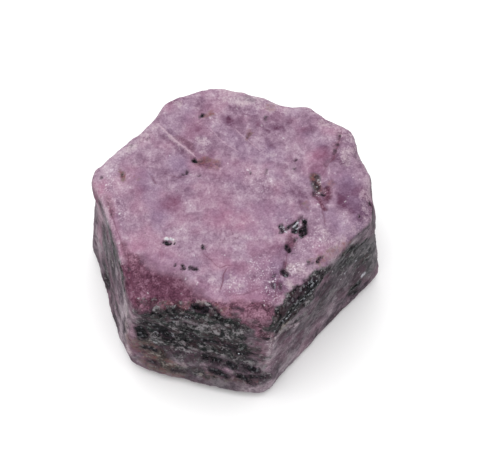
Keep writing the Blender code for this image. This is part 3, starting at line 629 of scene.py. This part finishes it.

# Painted glints: cleavage faces painted bright into the colour as highlights, long and thin.
glints = {
    "patch": [
        ([(6.72, -1.4), (6.32, -1.95)], 0.17, 0.85), ([(6.95, -1.7), (6.7, -2.1)], 0.15, 0.8),
        ([(7.25, -1), (7.05, -1.3)], 0.14, 0.6), ([(5.55, -2.6), (5.7, -2.75)], 0.17, 0.9),
        ([(5.3, -2.15), (5.4, -2.5)], 0.14, 0.6),
    ],
    "cluster": [
        ([(7.8, 3.3), (7.85, 3.1)], 0.17, 0.8), ([(8.25, 3.4)], 0.16, 0.7), ([(8.15, 2.8)], 0.15, 0.7),
    ],
    "ridgeEnd": [([(-4.9, 4.9)], 0.15, 0.5)],
    "rightDot": [
        ([(13.76, -1.1, 5.3)], 0.7, 0.9), ([(11.9, -3.4, 10)], 0.5, 0.75), ([(12.85, -2, 10.1)], 0.45, 0.5),
    ],
    "front": [
        ([(-4.7, -11.9, 12.6)], 0.24, 0.9), ([(-6.7, -11.9, 9.3), (-6.4, -11.9, 9.1)], 0.26, 0.6),
        ([(-6.9, -12.1, 7.2), (-6.6, -12.1, 7)], 0.26, 0.6),
        ([(-4.9, -11.9, 9.6), (-4.8, -11.9, 9)], 0.28, 0.5),
    ],
    # the chip's white, a painted highlight
    "chipHighlight": [([(-6.2, -4.66), (-5.95, -4.6), (-5.8, -4.66)], 0.2, 1)],
}

# Where the fine white sparkle, a painted highlight, is thick.
sparkles = {
    "frontMiddle": [([(3.6, -6.6), (4.6, -8.2), (4.9, -9.8)], 1.5, 1), ([(1, -9.4), (2.8, -8.4)], 1.2, 0.6)],
    "frontTop": [([(-4.4, -12, 13.6), (0.8, -12.3, 13.4)], 1.8, 0.7)],
    "frontEdge": [([(5, -12.4, 13.6), (5, -12.5, 9.6)], 0.8, 0.8)],
    "yellowed": [([(6.4, -6.8), (7.6, -6.4)], 0.9, 1)],
    "belowPatch": [([(7.4, -3.6), (9, -3)], 1.6, 0.5)],
    "middle": [([(1.6, 3.4), (3, 2.2)], 1.6, 0.5)],
    "leftRim": [([(-12.6, 2.8), (-12.8, 0.2)], 0.9, 0.9)],
    "leftCorner": [([(-11.8, -1.2), (-11.2, -2.4)], 1, 0.6)],
    "cluster": [([(8.2, 3.4), (8.4, 2.2)], 0.8, 0.9)],
    "patch": [([(5.4, -2.2), (7, -1.8)], 0.9, 0.6)],
    "bandTop": [([(8.4, -8, 15.6), (9.2, -7, 15.3)], 0.7, 0.9)],
    "band": [([(6, -11.4, 13.4), (8.6, -8, 14.4)], 1.8, 1)],
}


def keepGroup(stone, name, weights):
    # a vertex group takes one weight at a time, so the weights go in as twenty steps
    group = stone.vertex_groups.new(name=name)
    steps = np.clip((weights * 20).round().astype(int), 0, 20)
    for step in range(1, 21):
        members = np.nonzero(steps == step)[0].tolist()
        if members:
            group.add(members, step / 20, "REPLACE")


def addSmooth(stone, name, passes, group=""):
    smooth = stone.modifiers.new(name, "SMOOTH")
    smooth.factor = 0.5
    smooth.iterations = passes
    smooth.vertex_group = group


def freshStone():
    stone = bpy.data.objects.new("rubyCrystal", crystalNode.data.copy())
    bpy.context.scene.collection.objects.link(stone)
    pickOnly(stone)
    bpy.ops.object.mode_set(mode="EDIT")
    bpy.ops.mesh.select_all(action="SELECT")
    bpy.ops.mesh.remove_doubles(threshold=0.001 * mm)
    bpy.ops.object.mode_set(mode="OBJECT")
    lattice = stone.modifiers.new("lattice", "REMESH")
    lattice.mode = "VOXEL"
    lattice.voxel_size = stoneBody["lattice"] * mm
    addSmooth(stone, "easing", stoneBody["easing"])
    applyModifiers(stone)
    places, _ = readPoints(stone.data)
    corner, reach, passes = stoneBody["wornCorner"]
    away = np.linalg.norm(places - np.array(corner), axis=1)
    keepGroup(stone, "wornCorner", 1 - easeIn(away, 0.3 * reach, reach))
    addSmooth(stone, "wear", passes, "wornCorner")
    applyModifiers(stone)
    stone.vertex_groups.clear()
    return stone


def splitFaces(stone):
    # the faces under mica, grains and scratches get half the spacing
    least, reach = stoneBody["finer"]
    places, normals = readPoints(stone.data)
    beds = strokeCover(places, normals, micaBeds) - least
    others = [strokeCover(places, normals, strokes) for strokes in (darkGrains, scratchStrokes(reach))]
    covered = np.maximum(beds, np.maximum(*others)) > least
    faceCorners = np.empty(len(stone.data.loops), np.int32)
    stone.data.loops.foreach_get("vertex_index", faceCorners)
    pickOnly(stone)
    bpy.ops.object.mode_set(mode="EDIT")
    bpy.ops.mesh.select_all(action="DESELECT")
    bpy.ops.object.mode_set(mode="OBJECT")
    stone.data.polygons.foreach_set("select", covered[faceCorners].reshape(-1, 4).all(axis=1))
    bpy.ops.object.mode_set(mode="EDIT")
    bpy.ops.mesh.select_mode(type="FACE")
    bpy.ops.mesh.subdivide(number_cuts=1)
    bpy.ops.object.mode_set(mode="OBJECT")


def addRelief(stone, name, group, kind="CLOUDS", space=None, **settings):
    size, height = stoneBody[name]
    texture = bpy.data.textures.new(name, kind)
    texture.noise_scale = size if space else size * mm
    for key, value in settings.items():
        setattr(texture, key, value)
    relief = stone.modifiers.new(name, "DISPLACE")
    relief.texture = texture
    relief.strength = height * mm
    relief.mid_level = 0.5
    relief.vertex_group = group
    relief.texture_coords = "OBJECT" if space else "LOCAL"
    if space:
        relief.texture_coords_object = space


def scratchStrokes(reach, side=0):
    # the scratches as strokes of one reach; side is 1 for the dark ones and -1 for the pale ones
    return {"all": [(path, reach, side * tone if side else 1) for path, _, _, tone in allOf(scratches)]}


def pressOf(places, normals, strokes):
    # how far the strokes push each point, all together
    return sum(strokeCover(places, normals, {"one": [(path, reach, 1)]}) * depth
               for path, reach, depth, *tone in allOf(strokes))


def roughen(stone):
    # broad lumps, fine sugar, flat-lying splits and broken mica, then the listed scratches and pits
    places, normals = readPoints(stone.data)
    grains = strokeCover(places, normals, darkGrains)
    lift = easeIn(places[:, 2], *stoneBody["footFade"])
    mica = np.clip(strokeCover(places, normals, micaBeds), 0, 1) * lift
    keepGroup(stone, "everywhere", lift)
    keepGroup(stone, "prismFaces", easeIn(1 - np.abs(normals[:, 2]), 0.45, 0.8) * lift)
    keepGroup(stone, "brokenMica", np.maximum(mica, stoneBody["grainRelief"] * np.clip(grains, 0, 1) * lift))
    bpy.ops.object.empty_add(location=(0, 0, 0))
    bedSpace = bpy.context.object
    bedSpace.scale = (mm, mm, mm * stoneBody["bedSquash"])
    addRelief(stone, "swell", "everywhere", noise_depth=1)
    addRelief(stone, "knobs", "everywhere", noise_depth=1)
    addRelief(stone, "sugar", "everywhere", noise_depth=1, noise_type="HARD_NOISE")
    addRelief(stone, "beds", "prismFaces", space=bedSpace, noise_depth=2)
    addRelief(stone, "flakes", "brokenMica", "VORONOI", bedSpace, color_mode="POSITION")
    applyModifiers(stone)
    stone.vertex_groups.clear()
    bpy.data.objects.remove(bedSpace)
    after, _ = readPoints(stone.data)
    cuts = pressOf(places, normals, scratches) - pressOf(places, normals, bulges)
    size, depth, change = stoneBody["pits"]
    pits = depth + change * noiseAt(places, size, 5, 2)
    cuts = cuts + pits * np.clip(grains, 0, 1) * easeIn(normals[:, 2], 0.5, 0.8)
    rough = after - normals * cuts[:, None]
    rough[:, 2] = np.where(places[:, 2] < stoneBody["flatFoot"], np.maximum(rough[:, 2], 0), rough[:, 2])
    writePoints(stone.data, rough)
    return places, normals, np.einsum("ij,ij->i", rough - places, normals)


def noiseShift(places, setting, shifts, octaves):
    size, strength = stoneBody[setting]
    return np.stack([noiseAt(places, size, shift, octaves) for shift in shifts], axis=1) * strength


def paintFields(stone, places, normals, rise):
    # where each colour lies; the material breaks the edges up further
    faint, reach = stoneBody["hairline"]
    fray = noiseShift(places, "fray", (3, 9, 15), 2)
    bent = places + noiseShift(places, "wander", (1, 7, 13), 3)
    frayed = places + fray
    slope = np.abs(normals[:, 2])
    broad = {"mica": micaBeds, "rust": rustStains, "deep": deepPurple, "dusk": duskShade, "smoke": smokeVeil,
             "rose": roseDrift, "lilac": lilacDrift, "sparkle": sparkles}
    fields = {name: strokeCover(bent, normals, strokes) for name, strokes in broad.items()}
    fields.update({
        "book": strokeCover(bent, normals, micaBlack) - strokeCover(bent, normals, micaPale),
        # lift: the stone's own lighter and darker tone, with painted light and painted shade
        "lift": strokeCover(bent, normals, paleToneAndPaintedLight) - strokeCover(bent, normals, darkToneAndPaintedShade),
        "dark": strokeCover(frayed, normals, darkGrains),
        "pale": strokeCover(frayed, normals, paleDrift),
        # where the painted glints, painted highlights, lie
        "glint": strokeCover(places + 0.4 * fray, normals, glints),
        "crack": crackDistance(places + 0.5 * fray, normals,
                               [path for path, _, _, tone in allOf(scratches) if abs(tone) > faint]),
        "crackDark": strokeCover(places, normals, scratchStrokes(reach, 1)),
        "crackPale": strokeCover(places, normals, scratchStrokes(reach, -1)),
        # sides: prism faces and faces turned down, which take the darker side colours, partly as painted
        # shade
        "sides": np.maximum(easeIn(1 - slope, 0.34, 0.76), 0.8 * easeIn(-normals[:, 2], 0.1, 0.5)),
        "rim": easeIn(normals[:, 2], 0.2, 0.5) * (1 - easeIn(slope, 0.8, 0.97)),
        # rise: relief height, which the material uses as painted shade in the hollows
        "rise": rise,
    })
    for name, values in fields.items():
        field = stone.data.attributes.new(name, "FLOAT", "POINT")
        field.data.foreach_set("value", np.asarray(values, np.float32))


stone = freshStone()
print("stone copied and evened out:", len(stone.data.polygons), "faces")
splitFaces(stone)
paintFields(stone, *roughen(stone))
print("stone roughened:", len(stone.data.vertices), "points")


# Finishes.
lightLevel = 1.3  # how bright the studio light makes a level white sheet


def paint(red, green, blue, level=lightLevel):
    # a colour as it looks on the screen under the studio light, 0 to 255, as the shader needs it
    channels = [value / 255 for value in (red, green, blue)]
    linear = [c / 12.92 if c <= 0.04045 else ((c + 0.055) / 1.055) ** 2.4 for c in channels]
    return tuple(c / level for c in linear) + (1,)


def nodeBench(name):
    # an empty material, and the function that adds a node to it
    material = bpy.data.materials.new(name)
    material.use_nodes = True
    tree = material.node_tree
    tree.nodes.clear()

    def add(kind, sockets, **settings):
        node = tree.nodes.new("ShaderNode" + kind)
        for key, value in settings.items():
            setattr(node, key, value)
        for key, value in sockets.items():
            if isinstance(value, bpy.types.NodeSocket):
                tree.links.new(value, node.inputs[key])
            else:
                node.inputs[key].default_value = value
        return node

    return material, add


def sumsFor(add):
    # short ways to the nodes that are used most
    def calc(operation, first, second=0):
        return add("Math", {0: first, 1: second}, operation=operation).outputs[0]

    def times(first, *others):
        for other in others:
            first = calc("MULTIPLY", first, other)
        return first

    def total(first, *others):
        for other in others:
            first = calc("ADD", first, other)
        return first

    def share(value, low, high, smooth=True):
        ends = {"Value": value, "From Min": low, "From Max": high}
        kind = "SMOOTHSTEP" if smooth else "LINEAR"
        return add("MapRange", ends, interpolation_type=kind, clamp=True).outputs[0]

    def tint(factor, under, over, way="MIX"):
        ends = {0: factor, 6: under, 7: over}
        return add("Mix", ends, data_type="RGBA", blend_type=way, clamp_factor=True).outputs[2]

    def field(name):
        return add("Attribute", {}, attribute_name=name, attribute_type="GEOMETRY").outputs["Fac"]

    def ramp(value, tones):
        # a colour ramp from a dictionary of places and colours
        node = add("ValToRGB", {0: value})
        first, *between, last = [(place, paint(*shade)) for place, shade in tones.items()]
        marks = node.color_ramp.elements
        marks[0].position, marks[0].color = first
        marks[1].position, marks[1].color = last
        for place, shade in between:
            marks.new(place).color = shade
        return node.outputs[0]

    return calc, times, total, share, tint, field, ramp


def inMillimetres(add):
    places = add("TexCoord", {}).outputs["Object"]
    return add("VectorMath", {0: places, 3: 1 / mm}, operation="SCALE").outputs[0]


rubyFinish = {
    # ramps: place along the tone, and colour
    "body": {0.02: (96, 58, 82), 0.26: (126, 96, 118), 0.5: (154, 126, 146), 0.74: (179, 155, 171),
             1: (214, 200, 209)},
    # darker colours for the prism faces, partly painted shade
    "sides": {0.08: (44, 40, 44), 0.36: (82, 73, 80), 0.6: (112, 99, 108), 0.95: (166, 152, 160)},
    "deep": {0.08: (66, 32, 48), 0.45: (103, 63, 82), 0.95: (156, 118, 137)},
    "dusk": {0.1: (66, 40, 50), 0.42: (112, 73, 90), 0.9: (166, 126, 144)},
    "smoke": {0.1: (33, 35, 36), 0.45: (73, 75, 77), 0.9: (124, 119, 123)},
    "mica": {0.12: (12, 11, 14), 0.34: (35, 33, 37), 0.56: (62, 58, 61), 0.8: (92, 86, 89),
             1: (142, 136, 140)},
    # single colours
    "rose": (169, 116, 141),
    "lilac": (144, 121, 150),
    "sideRose": (126, 94, 110),
    "wornRim": (186, 162, 174),
    "bruise": (208, 190, 200),
    "bruiseWarm": (196, 180, 182),
    "bruiseWhite": (232, 226, 228),
    # specks and sugar: fine white sparkle painted in as highlights
    "speck": (236, 228, 234),
    "sugar": (228, 216, 224),
    "hairDark": (106, 62, 80),
    "hairPale": (198, 168, 184),
    "net": (112, 74, 92),
    "rust": (122, 74, 74),
    "olive": (112, 94, 82),
    "micaGreen": (50, 58, 55),
    "micaBrown": (86, 64, 70),
    "micaGrey": (132, 134, 134),
    "earth": (126, 113, 103),
    "halo": (98, 74, 88),
    "black": (9, 8, 11),
    "blackGrey": (36, 34, 40),
    # flecks in the black grains: painted glints
    "fleck": (148, 150, 156),
    # the colour of the painted glints, a painted highlight
    "glint": (202, 202, 210),
    # the surface
    "roughness": (0.46, 0.24),  # where the dust is low, and how much more where it is high
    "grainPolish": 0.16,  # mica and dark grains are less rough by this
    "specular": 0.03,
    "bump": (0.6, 0.05),  # strength, and depth in millimetres
}


def makeRuby():
    material, add = nodeBench("rawRuby")
    calc, times, total, share, tint, field, ramp = sumsFor(add)
    millimetres = inMillimetres(add)

    def moved(shift, squash):
        location = (shift, shift * 0.7, shift * 1.3)
        ends = {"Vector": millimetres, "Location": location, "Scale": (1, 1, 1 / squash)}
        return add("Mapping", ends).outputs[0]

    def grain(size, detail, shift, squash=1, roughness=0.5):
        ends = {"Vector": moved(shift, squash), "Scale": 1 / size, "Detail": detail, "Roughness": roughness}
        return add("TexNoise", ends).outputs[0]

    def wobbled(size, shift, squash=1, ragged=1):
        # places for irregular cells, bent by noise
        straight = moved(shift, squash)
        wobble = add("TexNoise", {"Vector": straight, "Scale": 1.4 / size, "Detail": 3}).outputs[1]
        bend = add("VectorMath", {0: wobble, 1: (0.5, 0.5, 0.5)}, operation="SUBTRACT").outputs[0]
        bend = add("VectorMath", {0: bend, 3: size * 1.5 * ragged}, operation="SCALE").outputs[0]
        where = add("VectorMath", {0: straight, 1: bend}, operation="ADD").outputs[0]
        return {"Vector": where, "Scale": 1 / size}

    def cells(*setting):
        # irregular grains: a random tone, a second one, and the distance to the middle
        grains = add("TexVoronoi", wobbled(*setting))
        split = add("SeparateColor", {0: grains.outputs["Color"]})
        return split.outputs[0], split.outputs[1], grains.outputs["Distance"]

    def swings(first, *parts):
        # each part moves the value up and down by half its strength
        for value, strength in parts:
            first = total(first, times(calc("SUBTRACT", value, 0.5), strength))
        return first

    def maskOf(name, low, high, *parts, fade=0.3, onSides=False, smooth=False):
        # a painted field with a broken edge, and nothing where the field is nothing
        gate = share(field(name), 0, fade)
        gate = calc("MAXIMUM", sides, gate) if onSides else gate
        return times(share(swings(field(name), *parts), low, high, smooth), gate)

    def shadeOf(name):
        return paint(*rubyFinish[name])

    def toneOf(name, tone):
        return ramp(tone, rubyFinish[name])

    def lay(colour, mask, strength, over, way="MIX"):
        # one more layer over the colour
        return tint(times(mask, strength), colour, shadeOf(over) if isinstance(over, str) else over, way)

    rise, sides, lift, sparkle = [field(name) for name in ("rise", "sides", "lift", "sparkle")]
    clouds = grain(3.4, 5, 3, roughness=0.6)
    patches = grain(1.1, 3, 11, roughness=0.6)
    grit = grain(0.42, 1, 19)
    dust = grain(0.17, 1, 27)
    lace = share(calc("ABSOLUTE", calc("SUBTRACT", grain(0.8, 2.5, 31), 0.5)), 0.045, 0)
    layers = grain(2.5, 2.5, 61, 1.3)
    streaks = grain(1.3, 4, 101, 1.15, 0.6)
    blots = grain(0.62, 2, 131, 1.2)
    lumpTone = cells(1.5, 5)[0]
    lumpEdge = add("TexVoronoi", wobbled(1.5, 5), feature="DISTANCE_TO_EDGE").outputs["Distance"]
    chipTone = cells(0.62, 37)[0]
    layerTone, layerHue, _ = cells(1.2, 67, 1.3)
    speckTone, speckHue, speckGap = cells(0.3, 71)
    strayTone, _, strayGap = cells(0.9, 113)
    bookTone, bookHue, _ = cells(1.3, 79, 1.1, 1.2)
    leafTone, leafHue, _ = cells(0.62, 83, 1.2)
    crumbTone, crumbHue, _ = cells(0.24, 97, 1.2)

    # clear purple cells with milky seams between them; the tone is lighter where the surface stands proud and
    # darker in its hollows, a painted shade
    seam = times(share(lumpEdge, 0.16, 0), share(patches, 0.4, 0.6))
    tone = swings(0.5, (clouds, 0.85), (patches, 0.45), (lumpTone, 0.18), (chipTone, 0.12),
                  (grit, 0.3), (dust, 0.2))
    # lift brings in painted light and painted shade along with the stone's own tone
    colour = toneOf("body", total(tone, times(rise, 0.5), times(seam, 0.14), lift))

    # the prism faces and faces turned down are darker and greyer, and blotched: partly their own colour,
    # partly painted shade where the light from above falls less
    tone = swings(0.45, (layers, 2), (streaks, 0.4), (layerTone, 0.4), (chipTone, 0.22),
                  (blots, 0.5), (grit, 0.5), (dust, 0.5))
    # rise darkens the hollows here too: painted shade
    blotched = toneOf("sides", total(tone, times(rise, 0.6), lift))
    blotched = lay(blotched, share(layerHue, 0.6, 0.9), 0.35, "sideRose")
    colour = lay(colour, sides, 0.9, blotched)

    # drifts of hue
    rosy = total(field("rose"), times(share(grain(3.4, 2, 41), 0.46, 0.68), 0.8))
    colour = lay(colour, rosy, calc("SUBTRACT", 0.38, times(sides, 0.22)), "rose")
    greyed = total(field("lilac"), times(share(grain(2.6, 2, 53), 0.5, 0.7), 0.5))
    colour = lay(colour, greyed, calc("SUBTRACT", 0.32, times(sides, 0.24)), "lilac")

    # worn rims are bruised pale
    worn = times(field("rim"), share(swings(patches, (dust, 0.6), (grit, 0.4)), 0.34, 0.7))
    colour = lay(colour, worn, 0.62, "wornRim")

    # clear, deep purple
    deep = maskOf("deep", 0, 1.15, (patches, 1), (grit, 0.4), (dust, 0.25))
    tone = swings(0.39, (patches, 0.6), (clouds, 0.5), (chipTone, 0.28), (dust, 0.55), (grit, 0.4))
    colour = lay(colour, deep, 0.97, toneOf("deep", total(tone, times(lace, 0.16))))

    # dull, brownish rose
    dusk = maskOf("dusk", 0, 0.85, (patches, 1), (grit, 0.4), (dust, 0.25))
    tone = swings(0.4, (patches, 1.2), (chipTone, 0.5), (grit, 0.5), (dust, 0.9))
    colour = lay(colour, dusk, 0.92, toneOf("dusk", tone))

    # grey-green veil
    smoke = maskOf("smoke", 0.1, 1, (layers, 1.3), (layerTone, 0.3), (dust, 0.4), onSides=True)
    tone = swings(0.5, (patches, 1.4), (streaks, 0.7), (layerTone, 0.5), (blots, 0.8), (dust, 0.6))
    colour = lay(colour, smoke, 0.85, toneOf("smoke", total(tone, lift)))

    # pale, bruised places; then white specks and sugar, which are painted sparkle highlights
    pale = maskOf("pale", 0.1, 1.3, (dust, 1.2), (grit, 1), (patches, 1.2))
    bruise = tint(share(patches, 0.4, 0.6), shadeOf("bruise"), shadeOf("bruiseWarm"))
    colour = lay(colour, pale, 0.72, bruise)
    # the whitest pale places; at the chip this white is a painted highlight
    colour = lay(colour, share(swings(field("pale"), (dust, 0.8)), 0.95, 1.5), 1, "bruiseWhite")
    highlightSpecks = share(total(speckTone, times(sparkle, 0.12)), 0.955, 0.975)
    highlightSpecks = times(highlightSpecks, share(speckGap, 0.45, 0.18), share(total(patches, times(sparkle, 0.3)), 0.42, 0.6))
    colour = lay(colour, highlightSpecks, total(0.42, times(sparkle, 0.3)), "speck")
    colour = lay(colour, share(dust, 0.58, 0.72), times(sparkle, 0.5), "sugar")

    # hairlines
    hair = share(calc("ABSOLUTE", field("crack")), 0.11, 0.02)
    colour = lay(colour, times(hair, field("crackDark")), 0.7, "hairDark")
    colour = lay(colour, times(hair, field("crackPale")), 0.75, "hairPale")
    colour = lay(colour, times(share(lumpEdge, 0.05, 0), share(clouds, 0.5, 0.62)), 0.3, "net")

    # rust
    rust = maskOf("rust", 0.25, 1.2, (grit, 1.2), (dust, 0.9), (speckTone, 0.5), (patches, 0.8), fade=0.4)
    colour = lay(colour, rust, 0.85, tint(share(speckHue, 0.35, 0.75), shadeOf("rust"), shadeOf("olive")))

    # fine light and dark over everything but the mica
    shade = swings(1, (dust, 0.42), (grit, 0.2))
    colour = tint(1, colour, add("CombineColor", {0: shade, 1: shade, 2: shade}).outputs[0], "MULTIPLY")

    # mica: random grains, black to grey, some green, brown or pale grey
    tone = swings(0.42, (bookTone, 0.45), (leafTone, 0.75), (crumbTone, 0.5), (dust, 0.6),
                  (streaks, 0.9), (blots, 2.1))
    # rise: lighter where the surface stands proud, darker in its hollows, a painted shade
    mica = toneOf("mica", total(tone, times(rise, 0.4), times(field("book"), -0.34)))
    mica = lay(mica, share(bookHue, 0.5, 0.75), 0.38, "micaGreen")
    mica = lay(mica, share(leafHue, 0.78, 0.88), 0.35, "micaBrown")
    mica = lay(mica, share(crumbHue, 0.86, 0.94), 0.45, "micaGrey")
    bed = maskOf("mica", 0.13, 0.89, (streaks, 1.6), (blots, 0.8), (leafTone, 0.4), (dust, 0.6),
                 (sides, 0.06), fade=0.25, onSides=True, smooth=True)
    colour = lay(colour, bed, 1, mica)
    earthy = share(swings(field("rust"), (blots, 1.6)), 0.3, 0.9)
    colour = lay(colour, times(earthy, sides, share(field("rust"), 0, 0.3), bed), 0.55, "earth", "COLOR")

    # dark grains, each in a duller halo, and a few stray ones
    colour = lay(colour, share(field("dark"), 0, 0.5), 0.4, "halo")
    dark = maskOf("dark", 0.12, 0.98, (dust, 0.9), (crumbTone, 0.3), (grit, 1.1), fade=0.2)
    stray = times(share(strayTone, 0.975, 0.98), share(strayGap, 0.34, 0.1), 0.6)
    dark = calc("MAXIMUM", dark, stray)
    black = tint(share(crumbTone, 0.4, 1), shadeOf("black"), shadeOf("blackGrey"))
    # pale flecks in the black grains are painted glints
    black = lay(black, share(crumbHue, 0.86, 0.94), total(0.3, times(sparkle, 0.7)), "fleck")
    colour = lay(colour, dark, 1, black)
    # painted glints: bright strokes painted over everything as highlights
    glint = maskOf("glint", 0.2, 0.9, (dust, 2.2), smooth=True)
    colour = lay(colour, glint, field("glint"), "glint")

    # the surface
    grains = calc("MAXIMUM", bed, dark)
    least, more = rubyFinish["roughness"]
    gloss = calc("SUBTRACT", total(least, times(dust, more)), times(grains, rubyFinish["grainPolish"]))
    heights = total(times(dust, 0.5), times(grit, 0.4), times(chipTone, 0.3), times(crumbTone, grains, 1.1))
    strength, depth = rubyFinish["bump"]
    bump = add("Bump", {"Height": heights, "Strength": strength, "Distance": depth * mm}).outputs[0]
    ends = {"Base Color": colour, "Roughness": gloss, "Normal": bump,
            "Specular IOR Level": rubyFinish["specular"]}
    add("OutputMaterial", {"Surface": add("BsdfPrincipled", ends).outputs[0]})
    return material


stone.data.materials.clear()
stone.data.materials.append(makeRuby())
pickOnly(stone)
bpy.ops.object.shade_smooth()
print("stone painted")


# Loose mica flakes in the beds.
flakeSetting = {
    "count": 420,
    "cover": 0.45,  # flakes lie only where the mica field is above this
    "lowest": 1,  # and only above this height
    "width": (0.16, 0.4),  # smallest and largest
    "narrow": (0.6, 1),  # the other width, as a share
    "thickness": 0.03,
    "sunk": 0.02,
    "seed": 7,
    "tilt": 0.75,  # how far flakes lean away from the surface
    "dullest": 0.8,  # the tones of the flakes end here
    # flakes laid here take the white top of the tone ramp: painted glints
    "sparks": [(-4.7, -11.9, 12.6), (2, -12.7, 8), (6.6, -10.6, 13)],
    "sparkWidth": (0.16, 0.3),
    "sparkTilt": 0.3,
    "sparkLift": 0.03,
    # the white top of the ramp colours only the glint flakes: a painted highlight
    "tones": {0: (26, 26, 28), 0.4: (46, 44, 47), 0.68: (80, 78, 79), 0.9: (140, 136, 140),
              1: (206, 212, 220)},
    "smudge": (74, 70, 68),
    "roughness": (0.22, 0.3),  # where the smudge is low, and how much more where it is high
    "specular": 0.6,
}


def oneFlake():
    # a six-sided plate one millimetre wide, with one corner broken off
    bpy.ops.object.select_all(action="DESELECT")
    bpy.ops.mesh.primitive_cylinder_add(vertices=6, radius=0.5 * mm, depth=flakeSetting["thickness"] * mm)
    flake = bpy.context.object
    bpy.ops.object.mode_set(mode="EDIT")
    bpy.ops.mesh.select_all(action="SELECT")
    corner = (0.3 * mm, 0.12 * mm, 0)
    bpy.ops.mesh.bisect(plane_co=corner, plane_no=(0.9, 0.44, 0), use_fill=True, clear_outer=True)
    bpy.ops.object.mode_set(mode="OBJECT")
    return flake


def layFlake(model, chance, spot, facing, width, tilt, tone):
    # one copy of the plate, turned at random and sunk a little into the stone
    lean = Vector([chance.gauss(0, tilt) for _ in range(3)])
    upright = (facing + lean).normalized().to_track_quat("Z", "Y").to_matrix().to_4x4()
    turn = upright @ Matrix.Rotation(chance.uniform(0, 6.28), 4, "Z")
    size = Matrix.Diagonal((width, width * chance.uniform(*flakeSetting["narrow"]), 1, 1))
    copy = model.copy()
    copy.data = model.data.copy()
    copy.data.transform(Matrix.Translation((spot - facing * flakeSetting["sunk"]) * mm) @ turn @ size)
    bpy.context.scene.collection.objects.link(copy)
    field = copy.data.attributes.new("tone", "FLOAT", "POINT")
    field.data.foreach_set("value", [tone] * len(copy.data.vertices))
    return copy


def scatterFlakes():
    chance = random.Random(flakeSetting["seed"])
    model = oneFlake()
    cover = np.empty(len(stone.data.vertices), np.float32)
    stone.data.attributes["mica"].data.foreach_get("value", cover)
    spots, facings = readPoints(stone.data)
    seats = np.nonzero((cover > flakeSetting["cover"]) & (spots[:, 2] > flakeSetting["lowest"]))[0].tolist()
    copies = []
    for seat in chance.sample(seats, flakeSetting["count"]):
        width = chance.uniform(*flakeSetting["width"])
        tone = flakeSetting["dullest"] * chance.random()
        copies.append(layFlake(model, chance, Vector(spots[seat]), Vector(facings[seat]), width,
                               flakeSetting["tilt"], tone))
    # flakes coloured white, as painted glints
    for place in flakeSetting["sparks"]:
        seat = int(np.argmin(np.linalg.norm(spots - np.array(place), axis=1)))
        width = chance.uniform(*flakeSetting["sparkWidth"])
        facing = Vector(facings[seat])
        spot = Vector(spots[seat]) + facing * flakeSetting["sparkLift"]
        copies.append(layFlake(model, chance, spot, facing, width, flakeSetting["sparkTilt"], 1))
    bpy.data.objects.remove(model)
    pickOnly(copies[0])
    for copy in copies:
        copy.select_set(True)
    bpy.ops.object.join()
    flakes = bpy.context.object
    flakes.name = "micaFlakes"
    return flakes


def makeMica():
    material, add = nodeBench("micaFlake")
    calc, times, total, share, tint, field, ramp = sumsFor(add)
    smudge = add("TexNoise", {"Vector": inMillimetres(add), "Scale": 5, "Detail": 1}).outputs[0]
    colour = ramp(field("tone"), flakeSetting["tones"])
    colour = tint(times(share(smudge, 0.4, 0.7), 0.5), colour, paint(*flakeSetting["smudge"]))
    least, more = flakeSetting["roughness"]
    gloss = total(least, times(smudge, more))
    ends = {"Base Color": colour, "Roughness": gloss, "Specular IOR Level": flakeSetting["specular"]}
    add("OutputMaterial", {"Surface": add("BsdfPrincipled", ends).outputs[0]})
    return material


flakes = scatterFlakes()
flakes.data.materials.clear()
flakes.data.materials.append(makeMica())
print("flakes set:", len(flakes.data.polygons), "faces")

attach(stone, "root")
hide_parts("ruby_crystal")
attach(flakes, "root")


# Floor and light.
studio = {
    "floor": paint(246, 246, 246, 1),
    "floorWidth": 6,
    "floorRoughness": 0.9,
    "sky": 0.8,
    "softboxPower": 11,
    "softboxPlace": (-0.12, 0.12, 1),
    "softboxWidth": 1.3,
}


def addStudio():
    bpy.ops.mesh.primitive_plane_add(size=studio["floorWidth"], location=(0, 0, 0))
    floor = bpy.context.object
    floor.name = "floor"
    material, add = nodeBench("paleFloor")
    ends = {"Base Color": studio["floor"], "Roughness": studio["floorRoughness"], "Specular IOR Level": 0}
    surface = add("BsdfPrincipled", ends)
    add("OutputMaterial", {"Surface": surface.outputs[0]})
    floor.data.materials.append(material)
    place = Vector(studio["softboxPlace"])
    bpy.ops.object.light_add(type="AREA", location=place, rotation=place.to_track_quat("Z", "Y").to_euler())
    softbox = bpy.context.object
    softbox.data.energy = studio["softboxPower"]
    softbox.data.size = studio["softboxWidth"]
    world = bpy.data.worlds.new("studio")
    world.use_nodes = True
    world.node_tree.nodes["Background"].inputs["Strength"].default_value = studio["sky"]
    world.node_tree.nodes["Background"].inputs["Color"].default_value = (1, 1, 1, 1)
    bpy.context.scene.world = world
    bpy.context.scene.view_settings.view_transform = "Standard"


addStudio()
print("studio lit")
